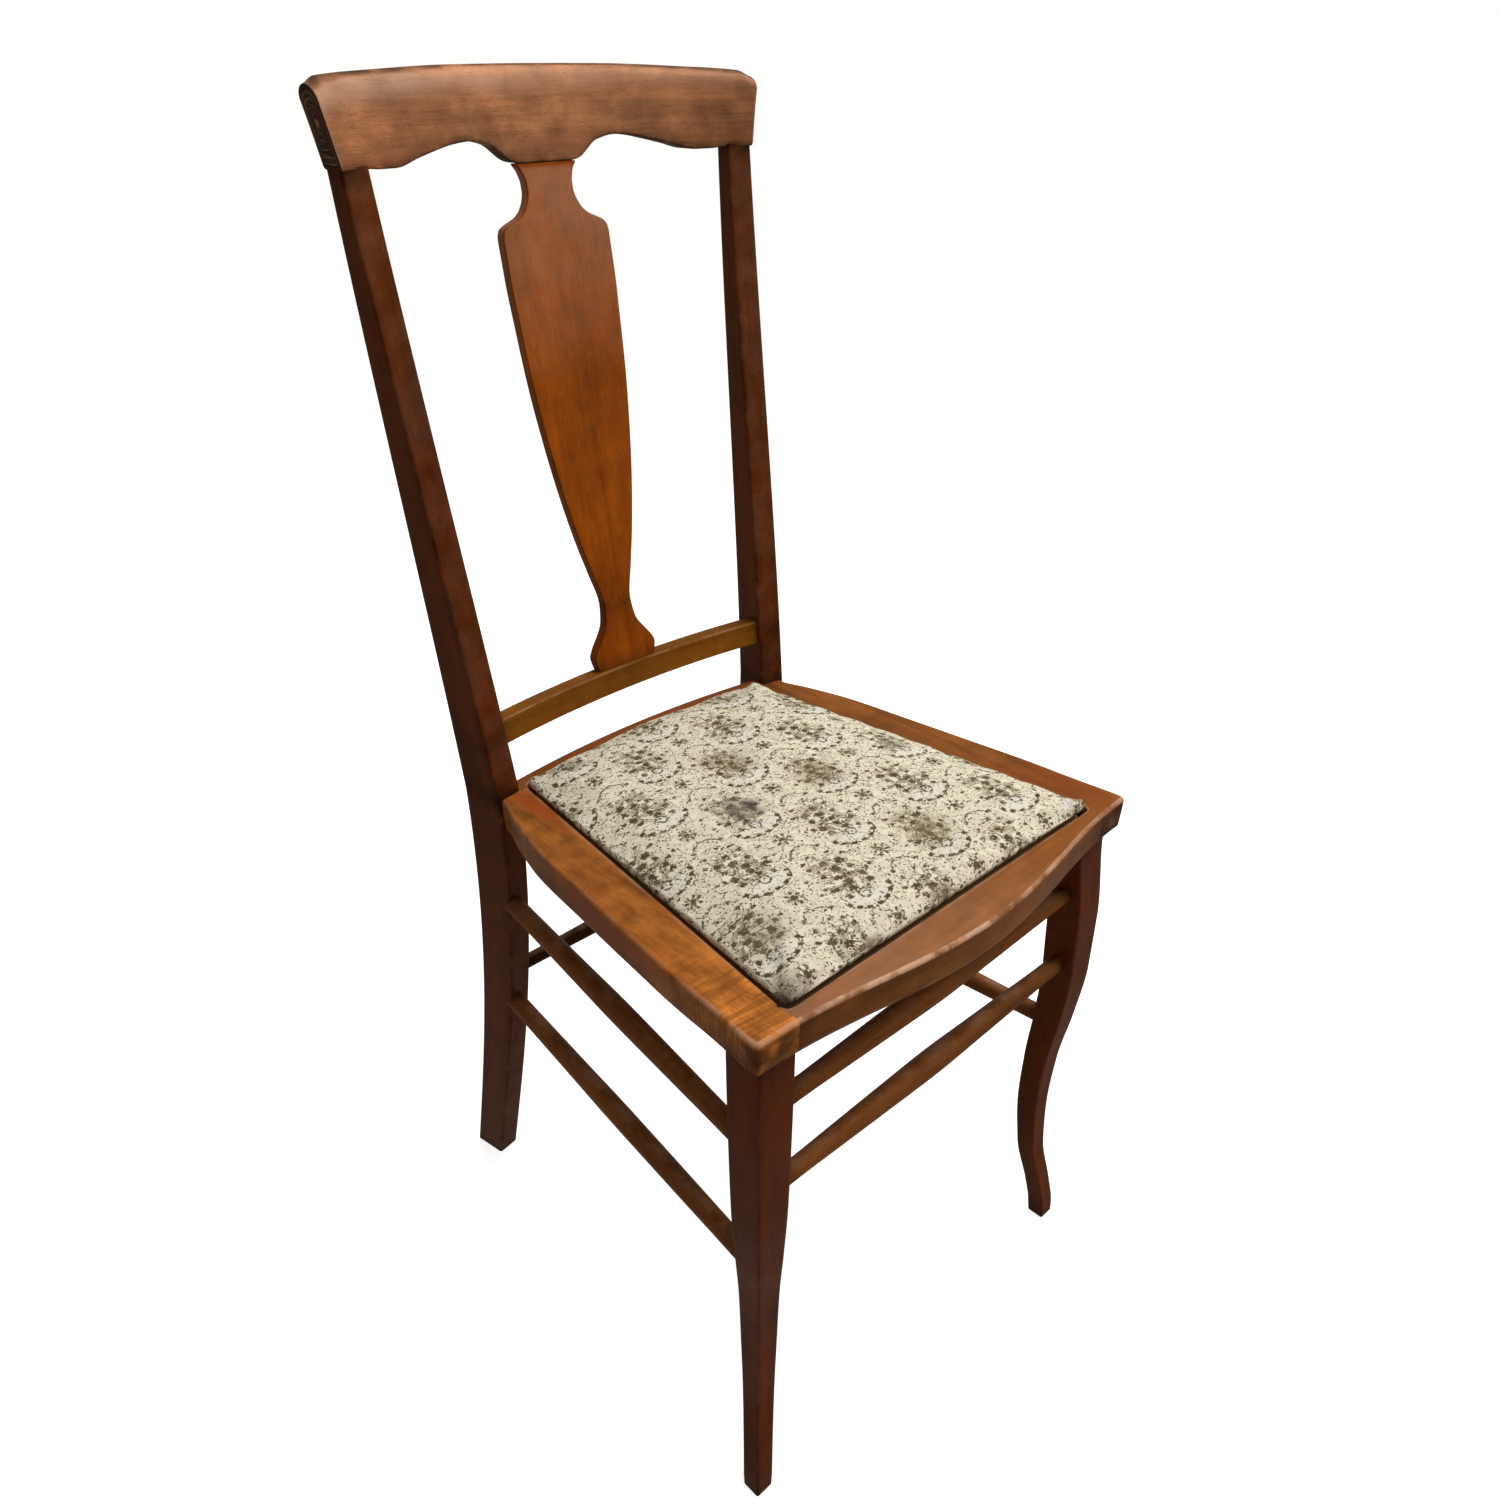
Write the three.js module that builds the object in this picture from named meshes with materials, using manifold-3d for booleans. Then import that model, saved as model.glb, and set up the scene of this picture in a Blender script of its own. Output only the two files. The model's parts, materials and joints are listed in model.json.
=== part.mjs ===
// Side chair with a vase splat, a bowed crest rail and a drop-in seat.
// Millimetres, +Z up. The chair faces -Y; left and right are the sitter's, so left is +X.
// Depths are counted along Y from a line across the seat, and the whole chair is centred at the end.
import * as THREE from 'three';
import { mergeVertices } from 'three/addons/utils/BufferGeometryUtils.js';
import Module from 'manifold-3d';

const wasm = await Module();
wasm.setup();

// Clearances shared by every joint
const fit = 0.3;
const overrun = 4;
const far = 900;

// Seat frame
const seatHeight = 445;
const railDepth = 28;
const railFrontLift = 2.5;
const railLiftShares = [[0, 1], [0.14, 1], [0.33, 0.45], [0.58, 0], [0.78, 0.02], [1, 0.2]];
const railLiftSteps = 16;
const frameFrontDepth = 198.5;
const frameFrontHalf = 192.5;
const frameRearHalf = 147;
const frontBow = 22;
const frontCornerRadius = 4;
const backRailReach = 29.2;
const backRailBow = 14.5;
const backJointLap = 3;
const edgeInset = 2;
const edgeShares = [[0, 1], [0.12, 0.6], [0.5, 0.2], [0.82, 0], [0.93, 0.14], [1, 0.7]];
const sideOutlineShares = [
  [0.87, 0.926], [0.75, 0.866], [0.611, 0.755], [0.491, 0.655], [0.375, 0.556],
  [0.261, 0.463], [0.195, 0.387], [0.14, 0.292], [0.07, 0.15],
];
const frontSteps = 20;
const backSteps = 8;

// Opening in the seat frame, and the rebate under it that carries the drop-in seat
const frontMargin = 9.5;
const sideMarginFront = 33;
const sideMarginRear = 25.8;
const backMargin = 13.4;
const openingBow = 7.3;
const openingCorner = 8;
const cornerSteps = 4;
const rebateDepth = 15;
const ledgeWidth = 12;

// Rear posts, one piece each from the floor to the crest rail
const postTop = 866.4;
const postProud = 2.4;
const postFrontDepth = 119.4;
const postWidth = 22;
const postWidthTop = 21.2;
const postWidthFoot = 20.5;
const postDepth = 36.9;
const postDepthTop = 14.9;
const postDepthFoot = 31.7;
const postTurn = 10;
const postTurnTop = 7.8;
const postTurnFoot = 9.1;
const postSpread = 20;
const postSpreadShares = [1.1, -0.1];
const postRake = 62.2;
const postRakeShares = [0.84, 0.42, -0.26];
const footDraw = 11.3;
const footSweep = 91.4;
const footSweepShares = [0.056, 1.41, -0.413, -0.053];
const postArris = 2.5;
const postStepsAbove = 8;
const postStepsBelow = 10;

// Crest rail
const crestHeight = 55.7;
const crestFlare = 9.3;
const crestBow = 31.6;
const crestSetForward = 2.6;
const crestRakeShare = 0.15;
const crestThickness = 13;
const crestEndThickness = 23;
const crestRound = 8.4;
const crestArris = 1.5;
const crestLowerShares = [
  [0, -0.074], [0.13, -0.074], [0.165, -0.056], [0.265, 0.146], [0.353, 0.196], [0.44, 0.174],
  [0.53, 0.122], [0.62, 0.062], [0.735, -0.015], [0.82, -0.012], [0.865, 0], [1, 0],
];
const crestTopShares = [[0, 1], [0.35, 0.993], [0.7, 0.953], [0.94, 0.908], [1, 0.835]];
const crestSteps = 36;
const crestRoundSteps = 6;

// Lower back rail
const lowRailLift = 36;
const lowRailHeight = 19.5;
const lowRailThickness = 13;
const lowRailReach = 25;
const lowRailBow = 11.4;
const lowRailRakeShare = 0.13;
const lowRailArris = 1.5;
const lowRailSteps = 16;

// Splat
const splatThickness = 8;
const splatSetBack = 4;
const splatBow = 0.7;
const splatFoot = 30.5;
const splatWaist = 13.2;
const splatShoulder = 45.1;
const splatNeck = 18.7;
const splatFootShares = [[0, 0.93], [0.01, 0.965], [0.028, 1], [0.042, 0.93]];
const splatBodyShares = [
  [0.064, 0.282], [0.078, 0.166], [0.092, 0.08], [0.111, 0.03], [0.138, 0], [0.207, 0.172],
  [0.276, 0.364], [0.386, 0.602], [0.497, 0.777], [0.607, 0.9], [0.718, 0.966], [0.8, 1], [0.842, 1],
  [0.858, 0.98], [0.87, 0.92],
];
const splatNeckShares = [
  [0.884, 0.655], [0.894, 0.46], [0.908, 0.2], [0.918, 0.1], [0.928, 0.04], [0.944, 0], [0.968, 0],
  [0.99, 0.07], [1, 0.16],
];
const splatArris = 1;
const splatSteps = 2;

// Front legs
const legInsetSide = 10.2;
const legInsetFront = 7.7;
const legSide = 30.6;
const legCurve = 7.1;
const legShares = [
  [0, 0.9, 0.5], [0.029, 0.84, 0.52], [0.098, 0.3, 0.53], [0.215, -0.76, 0.565], [0.332, -1, 0.625],
  [0.449, -0.73, 0.68], [0.566, 0.06, 0.79], [0.683, 0.6, 0.89], [0.8, 0.62, 0.94], [1, 0, 1],
];
const legArris = 2;
const legSteps = 16;

// Stretchers, whose drops are counted from the top of the seat frame
const frontStretcherEnd = 6.6;
const frontStretcherMiddle = 9.5;
const sideStretcherEnd = 7.4;
const sideStretcherMiddle = 8.5;
const rearStretcherEnd = 6;
const rearStretcherMiddle = 7;
const stretcherSwellShares = [[0, 0], [0.1, 0.03], [0.21, 0.28], [0.35, 0.66], [0.5, 1]];
const stretcherSteps = 10;
const stretcherSides = 14;
const frontUpperDrop = 82;
const frontLowerDrop = 149;
const sideUpperFrontDrop = 114;
const sideUpperRearDrop = 102;
const leftLowerFrontDrop = 217;
const leftLowerRearDrop = 210;
const rightLowerFrontDrop = 226;
const rightLowerRearDrop = 214;
const rearStretcherDrop = 193;

// Dowels and tongues
const dowelRadius = 4;
const frameDowelRadius = 3;
const legDowelRadius = 5;
const dowelHalf = 14;
const dowelSides = 10;
const sideDowelDrop = 14;
const frontDowelDrop = 20.2;
const backDowelDrop = 21.2;
const frontDowelInset = 11;
const backDowelInset = 10;
const legDowelRise = 7;
const tongueLength = 11;
const tongueThickness = 5;
const tongueMargin = 4;

// Corner blocks and their screws
const blockLeg = 42;
const blockLift = 1;
const blockHeight = 8;
const screwShank = 1.6;
const screwHead = 3;
const screwHeadHeight = 2.2;
const screwTip = 4;
const screwBite = 11;
const screwAlongShare = 0.58;
const screwSink = 4;
const screwSides = 8;

// Drop-in seat
const seatGap = 1.2;
const dropRailInset = 3;
const dropRailWidth = 44;
const dropRailHeight = 8;
const dropDowelHalf = 12;
const dropDowelRadius = 2.5;
const webbingWidth = 50;
const webbingThickness = 1;
const webbingAcrossShares = [-0.66, 0, 0.66];
const webbingAlongShares = [0.25, 0.5, 0.75];
const webbingHold = 14;
const clothThickness = 0.8;
const clothMargin = 9;
const bottomClothMargin = 2;

// Cushion of the drop-in seat
const cushionEdge = 6.5;
const cushionDrawIn = 3;
const cushionRoll = 3.5;
const cushionBulgeShare = 0.4;
const cushionTuckShare = 0.25;
const cushionCrown = 11.5;
const cushionRollSteps = 4;
const cushionCrownPower = 2.2;
const cushionCrownShares = [0.97, 0.92, 0.83, 0.7, 0.52, 0.32, 0.14];
const cushionCornerSteps = 8;

// Levels and depths that the sizes above lead to
const railBottom = seatHeight - railDepth;
const legSeat = railBottom + railFrontLift;
const ledgeLevel = seatHeight - rebateDepth;
const dropBottom = ledgeLevel + fit;
const dropTop = dropBottom + dropRailHeight;
const webbingLow = dropTop + fit;
const webbingHigh = webbingLow + webbingThickness + fit;
const clothLevel = webbingHigh + webbingThickness + fit;
const cushionBottom = clothLevel + clothThickness + fit;
const lowRailBottom = seatHeight + lowRailLift;
const crestBase = postTop + fit;
const postOuter = frameRearHalf + postProud;
const crestHalf = postOuter + postSpread;
const crestEndDepth = postFrontDepth + postRake - crestSetForward;
const lowRailDepth = postFrontDepth + lowRailReach;
const backRailDepth = postFrontDepth + backRailReach;
const openingFront = -(frameFrontDepth - frontMargin);
const openingBack = backRailDepth - backMargin;
const openingBackCorner = openingBack - openingBow;
const openingFrontHalf = frameFrontHalf - sideMarginFront;
const openingBackHalf = frameRearHalf - sideMarginRear;

// Helpers for numbers and curves

const mix = THREE.MathUtils.lerp;
const turnOf = THREE.MathUtils.degToRad;
const steps = (count) => Array.from({ length: count + 1 }, (_, k) => k / count);

// Curve through [place, value] stations that never overshoots them
function through(stations) {
  const rise = (k) => {
    const [a, b] = [stations[k], stations[k + 1]];
    return a && b ? (b[1] - a[1]) / (b[0] - a[0]) : 0;
  };
  const slopes = stations.map((_, k) => {
    const [before, after] = [rise(k - 1), rise(k)];
    return before * after > 0 ? (2 * before * after) / (before + after) : 0;
  });
  return (place) => {
    const found = stations.findIndex(([at]) => at >= place);
    const next = found < 0 ? stations.length - 1 : Math.max(found, 1);
    const [[from, low], [to, high]] = [stations[next - 1], stations[next]];
    const span = to - from;
    const t = THREE.MathUtils.clamp((place - from) / span, 0, 1);
    const ease = t * t * (3 - 2 * t);
    const leave = slopes[next - 1] * span * t * (1 - t) ** 2;
    const arrive = slopes[next] * span * t * t * (1 - t);
    return mix(low, high, ease) + leave - arrive;
  };
}

// Power series with no constant term, whose factors add up to 1
function series(place, shares) {
  return shares.reduce((sum, share, k) => sum + share * place ** (k + 1), 0);
}

// Corners [x, y, radius] to a closed outline with rounded corners
function rounded(corners, count = cornerSteps) {
  return corners.flatMap(([x, y, radius], k) => {
    const corner = new THREE.Vector2(x, y);
    if (!radius) return [corner];
    const before = corners.at(k - 1);
    const after = corners[(k + 1) % corners.length];
    const toward = (other) => new THREE.Vector2(other[0] - x, other[1] - y).setLength(radius).add(corner);
    return new THREE.QuadraticBezierCurve(toward(before), corner, toward(after)).getPoints(count);
  });
}

// Closed outline moved inwards by a distance
function inset(outline, distance) {
  const turn = Math.sign(THREE.ShapeUtils.area(outline));
  return outline.map((point, k) => {
    const before = outline.at(k - 1);
    const after = outline[(k + 1) % outline.length];
    const along = after.clone().sub(before).normalize().multiplyScalar(turn * distance);
    return new THREE.Vector2(point.x - along.y, point.y + along.x);
  });
}

// Helpers for solids

function manifold(geometry) {
  const bare = geometry.clone();
  bare.deleteAttribute('normal');
  bare.deleteAttribute('uv');
  const merged = mergeVertices(bare);
  const index = Array.from(merged.index.array);
  const kept = [];
  for (let k = 0; k < index.length; k += 3) {
    const [a, b, c] = index.slice(k, k + 3);
    if (a !== b && b !== c && c !== a) kept.push(a, b, c);
  }
  const vertProperties = Float32Array.from(merged.attributes.position.array);
  return new wasm.Manifold(new wasm.Mesh({ numProp: 3, vertProperties, triVerts: Uint32Array.from(kept) }));
}

// Closed skin over rings of as many points each, with flat ends
function loft(rings, flatten) {
  const count = rings[0].length;
  const index = [];
  for (let k = 1; k < rings.length; k += 1) {
    for (let i = 0; i < count; i += 1) {
      const j = (i + 1) % count;
      const [a, b, c, d] = [(k - 1) * count + i, (k - 1) * count + j, k * count + j, k * count + i];
      index.push(a, b, c, a, c, d);
    }
  }
  const close = (ring, base, sameWay) => {
    const flat = ring.map(flatten);
    const turn = Math.sign(THREE.ShapeUtils.area(flat));
    THREE.ShapeUtils.triangulateShape(flat, []).forEach(([a, b, c]) => {
      const along = Math.sign(THREE.ShapeUtils.area([flat[a], flat[b], flat[c]])) === turn;
      const [p, q] = along === sameWay ? [b, c] : [c, b];
      index.push(base + a, base + p, base + q);
    });
  };
  close(rings[0], 0, false);
  close(rings.at(-1), (rings.length - 1) * count, true);
  const points = rings.flat();
  const volume = index.reduce((sum, _, k) => {
    if (k % 3) return sum;
    const [a, b, c] = index.slice(k, k + 3).map((at) => points[at]);
    return sum + a.dot(b.clone().cross(c));
  }, 0);
  if (volume < 0) index.reverse();
  const geometry = new THREE.BufferGeometry().setFromPoints(points);
  geometry.setIndex(index);
  return manifold(geometry);
}

const fromAbove = (point) => new THREE.Vector2(point.x, point.y);
const fromTheSide = (point) => new THREE.Vector2(point.y, point.z);
const loftUp = (rings) => loft(rings, fromAbove);
const loftAcross = (rings) => loft(rings, fromTheSide);
const level = (outline, z) => outline.map((point) => new THREE.Vector3(point.x, point.y, z));
const slab = (outline, low, high) => loftUp([level(outline, low), level(outline, high)]);

function box([x0, y0, z0], [x1, y1, z1]) {
  const size = [x1 - x0, y1 - y0, z1 - z0];
  const geometry = new THREE.BoxGeometry(...size);
  return manifold(geometry.translate((x0 + x1) / 2, (y0 + y1) / 2, (z0 + z1) / 2));
}

// Turned solid from one point to another; the profile holds [radius, distance from the first point]
function turned(from, to, profile, sides) {
  const along = to.clone().sub(from).normalize();
  const points = profile.map(([radius, distance]) => new THREE.Vector2(radius, distance));
  const geometry = new THREE.LatheGeometry(points, sides);
  geometry.applyQuaternion(new THREE.Quaternion().setFromUnitVectors(new THREE.Vector3(0, 1, 0), along));
  return manifold(geometry.translate(from.x, from.y, from.z));
}

function rod(from, to, radius, sides, spare = 0) {
  const length = from.distanceTo(to);
  const [wide, start, end] = [radius + spare, -spare, length + spare];
  return turned(from, to, [[0, start], [wide, start], [wide, end], [0, end]], sides);
}

const mirrored = (solid) => solid.mirror([1, 0, 0]);
const cutAll = (solid, cutters) => cutters.reduce((left, cutter) => left.subtract(cutter), solid);
const joinAll = (solids) => solids.reduce((sum, solid) => sum.add(solid));

// Materials
const finishes = {
  darkWood: { color: 0x4a2412, roughness: 0.42, metalness: 0 },
  warmWood: { color: 0x9a5a2a, roughness: 0.4, metalness: 0 },
  splatWood: { color: 0x96591f, roughness: 0.4, metalness: 0 },
  stretcherWood: { color: 0x6a4324, roughness: 0.45, metalness: 0 },
  paleWood: { color: 0xc9a26b, roughness: 0.7, metalness: 0 },
  cover: { color: 0xe0d8b8, roughness: 0.95, metalness: 0 },
  webbing: { color: 0xb59a6a, roughness: 0.95, metalness: 0 },
  hessian: { color: 0xa58a5c, roughness: 0.95, metalness: 0 },
  bottomCloth: { color: 0x2a2724, roughness: 0.95, metalness: 0 },
  steel: { color: 0x8d8f92, roughness: 0.4, metalness: 1 },
};

const pieces = {};
const place = (name, solid, finish) => {
  pieces[name] = { solid, finish };
};
const placePair = (name, solid, finish) => {
  place(`${name}_left`, solid, finish);
  place(`${name}_right`, mirrored(solid), finish);
};

// Rear posts

// Outer front corner, width, depth and turn of a post at a height
function postAt(height) {
  const above = height >= seatHeight;
  const share = (height - seatHeight) / (above ? postTop - seatHeight : -seatHeight);
  const end = above
    ? [postWidthTop, postDepthTop, postTurnTop]
    : [postWidthFoot, postDepthFoot, postTurnFoot];
  const [width, depth, turn] = [postWidth, postDepth, postTurn].map((size, k) => mix(size, end[k], share));
  const x = postOuter + (above ? postSpread * series(share, postSpreadShares) : -footDraw * share);
  const y = postFrontDepth
    + (above ? postRake * series(share, postRakeShares) : footSweep * series(share, footSweepShares));
  const inward = new THREE.Vector3(-Math.cos(turnOf(turn)), Math.sin(turnOf(turn)), 0);
  const back = new THREE.Vector3(Math.sin(turnOf(turn)), Math.cos(turnOf(turn)), 0);
  return { corner: new THREE.Vector3(x, y, height), inward, back, width, depth };
}

// Point of a post's section, in shares of its width and depth from the outer front corner
function postPoint(height, widthShare, depthShare) {
  const { corner, inward, back, width, depth } = postAt(height);
  return corner.addScaledVector(inward, width * widthShare).addScaledVector(back, depth * depthShare);
}

// Ring with its four arrises taken off, standing off the true section by a spare distance
function postRing(height, spare) {
  const { corner, inward, back, width, depth } = postAt(height);
  const point = (across, deep) => corner.clone().addScaledVector(inward, across).addScaledVector(back, deep);
  const [left, right, front, rear] = [-spare, width + spare, -spare, depth + spare];
  const cut = postArris;
  return [
    point(left + cut, front), point(right - cut, front), point(right, front + cut), point(right, rear - cut),
    point(right - cut, rear), point(left + cut, rear), point(left, rear - cut), point(left, front + cut),
  ];
}

function postSolid(spare) {
  const below = steps(postStepsBelow).map((share) => seatHeight * share);
  const above = steps(postStepsAbove).slice(1).map((share) => mix(seatHeight, postTop, share));
  return loftUp([...below, ...above].map((height) => postRing(height, spare)));
}

const postClearance = postSolid(fit);
const postsClearance = postClearance.add(mirrored(postClearance));

// Seat frame

const frontEdge = (x) => -(frameFrontDepth + (frontBow * (1 + Math.cos((Math.PI * x) / frameFrontHalf))) / 2);
const backEdge = (x) => backRailDepth - backRailBow * (x / postOuter) ** 2;
const rearEndHalf = frameRearHalf - postWidth / 2;

function frameOutline() {
  const frontReach = frameFrontHalf - 2 * frontCornerRadius;
  const front = steps(frontSteps / 2).map((share) => [frontReach * share, frontEdge(frontReach * share), 0]);
  const rearDepth = postFrontDepth - fit;
  const side = sideOutlineShares.map(([depthShare, widthShare]) => [
    mix(frameRearHalf, frameFrontHalf, widthShare), mix(rearDepth, -frameFrontDepth, depthShare), 0,
  ]);
  const back = steps(backSteps / 2).map((share) => rearEndHalf * (1 - share)).map((x) => [x, backEdge(x), 0]);
  const corner = [frameFrontHalf, frontEdge(frameFrontHalf), frontCornerRadius];
  const right = [...front, corner, ...side, [frameRearHalf, rearDepth, 0], ...back];
  const left = right.slice(1, -1).map(([x, y, radius]) => [-x, y, radius]).reverse();
  return rounded([...right, ...left]);
}

// Outline of the opening, moved inwards by a margin
function openingCorners(margin, radius) {
  const frontY = openingFront + margin;
  const backY = openingBackCorner - margin;
  const sideAt = (y) => THREE.MathUtils.mapLinear(
    y, openingFront, openingBackCorner, openingFrontHalf, openingBackHalf,
  ) - margin;
  const half = sideAt(backY);
  const middle = [[half / 2, backY + (openingBow * 3) / 4, 0], [0, backY + openingBow, 0]];
  const right = [[sideAt(frontY), frontY, radius], [half, backY, radius], ...middle];
  const left = right.filter(([x]) => x > 0).map(([x, y, r]) => [-x, y, r]).reverse();
  return [...right, ...left];
}
const opening = (margin, radius, count) => rounded(openingCorners(margin, radius), count);

const frameLevels = edgeShares.map(([heightShare, insetShare]) => (
  level(inset(frameOutline(), edgeInset * insetShare), mix(railBottom, seatHeight, heightShare))
));
const seatWell = slab(opening(0, openingCorner), ledgeLevel, seatHeight + overrun);
const throughWell = slab(opening(ledgeWidth, 0), railBottom - overrun, ledgeLevel + overrun);

// Solid under the rails, whose top is the rails' lower edge: higher in front, where the legs stand
function underCut() {
  const lift = through(railLiftShares);
  const edge = steps(railLiftSteps).map((share) => new THREE.Vector3(
    0, mix(-frameFrontDepth, postFrontDepth, share), railBottom + railFrontLift * lift(share),
  ));
  const start = new THREE.Vector3(0, -far, edge[0].z);
  const end = new THREE.Vector3(0, far, edge.at(-1).z);
  const below = railBottom - railDepth;
  const outline = [start, ...edge, end, end.clone().setZ(below), start.clone().setZ(below)];
  return loftAcross([-far, far].map((x) => outline.map((point) => point.clone().setX(x))));
}

const seatFrame = cutAll(loftUp(frameLevels), [seatWell, throughWell, postsClearance, underCut()]);

const frontJointHalf = openingFrontHalf - fit;
const frontRailBack = openingFront + ledgeWidth;
const backJoint = postFrontDepth + backJointLap;
const frontBlank = box([-frontJointHalf, -far, 0], [frontJointHalf, frontRailBack, far]);
const frontClearance = box(
  [-frontJointHalf - fit, -far, 0], [frontJointHalf + fit, frontRailBack + fit, far],
);
const sideBlank = box([0, -far, 0], [far, backJoint, far]).subtract(frontClearance);
const backBlank = box([-far, backJoint + fit, 0], [far, far, far]);

const rails = {
  seat_rail_front: seatFrame.intersect(frontBlank),
  seat_rail_left: seatFrame.intersect(sideBlank),
  seat_rail_right: seatFrame.intersect(mirrored(sideBlank)),
  seat_rail_back: seatFrame.intersect(backBlank),
};

// Front legs

const legTop = legSeat - fit;
const legOut = through(legShares.map(([height, out]) => [height, out * legCurve]));
const legThick = through(legShares.map(([height, , side]) => [height, side * legSide]));

function legCentre(height) {
  const share = height / legTop;
  const out = legOut(share) - legThick(share) / 2;
  const depth = frameFrontDepth - legInsetFront + out;
  return new THREE.Vector3(frameFrontHalf - legInsetSide + out, -depth, height);
}

function legRing(height) {
  const half = legThick(height / legTop) / 2;
  const { x, y } = legCentre(height);
  const cut = legArris;
  const square = [
    [-half + cut, -half], [half - cut, -half], [half, -half + cut], [half, half - cut],
    [half - cut, half], [-half + cut, half], [-half, half - cut], [-half, -half + cut],
  ];
  return square.map(([across, deep]) => new THREE.Vector3(x + across, y + deep, height));
}

const legSolid = loftUp(steps(legSteps).map((share) => legRing(legTop * share)));

// Stretchers, each let into its legs as far as their middle

function stretcher(from, to, end, middle) {
  const length = from.distanceTo(to);
  const swell = through(stretcherSwellShares);
  const radii = steps(stretcherSteps).map((share) => [
    mix(end, middle, swell(Math.min(share, 1 - share))), share * length,
  ]);
  return {
    solid: turned(from, to, [[0, 0], ...radii, [0, length]], stretcherSides),
    holes: rod(from, to, end, stretcherSides, fit),
  };
}

const other = (point) => new THREE.Vector3(-point.x, point.y, point.z);
const frontMiddle = (drop) => legCentre(seatHeight - drop);
const rearMiddle = (drop) => postPoint(seatHeight - drop, 0.5, 0.5);
const across = (point, end, middle) => stretcher(other(point), point, end, middle);
const sideways = (frontDrop, rearDrop) => stretcher(
  frontMiddle(frontDrop), rearMiddle(rearDrop), sideStretcherEnd, sideStretcherMiddle,
);
const stretchers = {
  frontUpper: across(frontMiddle(frontUpperDrop), frontStretcherEnd, frontStretcherMiddle),
  frontLower: across(frontMiddle(frontLowerDrop), frontStretcherEnd, frontStretcherMiddle),
  rear: across(rearMiddle(rearStretcherDrop), rearStretcherEnd, rearStretcherMiddle),
  sideUpper: sideways(sideUpperFrontDrop, sideUpperRearDrop),
  leftLower: sideways(leftLowerFrontDrop, leftLowerRearDrop),
  rightLower: sideways(rightLowerFrontDrop, rightLowerRearDrop),
};
const stretcherHoles = (names) => names.map((name) => stretchers[name].holes);

place('stretcher_front_upper', stretchers.frontUpper.solid, 'stretcherWood');
place('stretcher_front_lower', stretchers.frontLower.solid, 'stretcherWood');
placePair('stretcher_side_upper', stretchers.sideUpper.solid, 'stretcherWood');
place('stretcher_side_lower_left', stretchers.leftLower.solid, 'stretcherWood');
place('stretcher_side_lower_right', mirrored(stretchers.rightLower.solid), 'stretcherWood');
place('stretcher_rear', stretchers.rear.solid, 'darkWood');

// Crest rail

const crestFront = (x, z) => (
  crestEndDepth + crestBow * (1 - (x / crestHalf) ** 2) + crestRakeShare * (z - crestBase)
);
const crestLower = through(crestLowerShares);
const crestUpper = through(crestTopShares);

function crestRing(share) {
  const low = crestBase + crestLower(Math.abs(share)) * crestHeight;
  const high = crestBase + crestUpper(Math.abs(share)) * crestHeight;
  const turnIn = high - crestRound;
  const halfAt = (z) => crestHalf + (crestFlare * (z - crestBase)) / (crestHeight - crestRound);
  const thick = mix(crestThickness, crestEndThickness, share * share);
  const point = (z, deep) => {
    const x = share * halfAt(z);
    return new THREE.Vector3(x, crestFront(x, z) + deep, z);
  };
  const top = steps(crestRoundSteps).map((part) => point(
    turnIn + crestRound * Math.sin(Math.PI * part), (thick * (1 + Math.cos(Math.PI * part))) / 2,
  ));
  return [
    point(low + crestArris, 0), point(low, crestArris),
    point(low, thick - crestArris), point(low + crestArris, thick), ...top,
  ];
}

const crestBlank = loftAcross(steps(crestSteps).map((share) => crestRing(2 * share - 1)));

// Lower back rail, scribed to the posts

const lowRailTop = lowRailBottom + lowRailHeight;
const lowRailMiddle = (lowRailBottom + lowRailTop) / 2;
const innerHalf = postPoint(lowRailMiddle, 1, 0).x;
const lowRailFront = (x, z) => (
  lowRailDepth - lowRailBow * (x / innerHalf) ** 2 + lowRailRakeShare * (z - lowRailMiddle)
);

function lowRailRing(share) {
  const x = share * (innerHalf + tongueLength);
  const point = (z, deep) => new THREE.Vector3(x, lowRailFront(x, z) + deep, z);
  const [low, high, cut, thick] = [lowRailBottom, lowRailTop, lowRailArris, lowRailThickness];
  return [
    point(low, cut), point(low, thick - cut), point(low + cut, thick), point(high - cut, thick),
    point(high, thick - cut), point(high, cut), point(high - cut, 0), point(low + cut, 0),
  ];
}

const lowRailBlank = loftAcross(steps(lowRailSteps).map((share) => lowRailRing(2 * share - 1)));

// Tongue of the lower back rail, which reaches into a post on each side
function lowRailTongues(spare) {
  const reach = innerHalf + tongueLength + spare;
  const deep = lowRailFront(innerHalf, lowRailMiddle) + (lowRailThickness - tongueThickness) / 2;
  const low = lowRailBottom + tongueMargin;
  const high = lowRailTop - tongueMargin;
  const one = box(
    [innerHalf - tongueMargin, deep - spare, low - spare],
    [reach, deep + tongueThickness + spare, high + spare],
  );
  return one.add(mirrored(one));
}

// Splat between the lower back rail and the crest rail

const splatBottom = lowRailTop + fit;
const splatTop = crestBase + crestLowerShares[0][1] * crestHeight - fit;
const splatHalfAt = through([
  ...splatFootShares.map(([height, share]) => [height, share * splatFoot]),
  ...splatBodyShares.map(([height, share]) => [height, mix(splatWaist, splatShoulder, share)]),
  ...splatNeckShares.map(([height, share]) => [height, mix(splatNeck, splatShoulder, share)]),
]);
const splatFront = (share) => (
  mix(lowRailDepth + splatSetBack, crestFront(0, splatTop), share) + 4 * splatBow * share * (1 - share)
);

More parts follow.
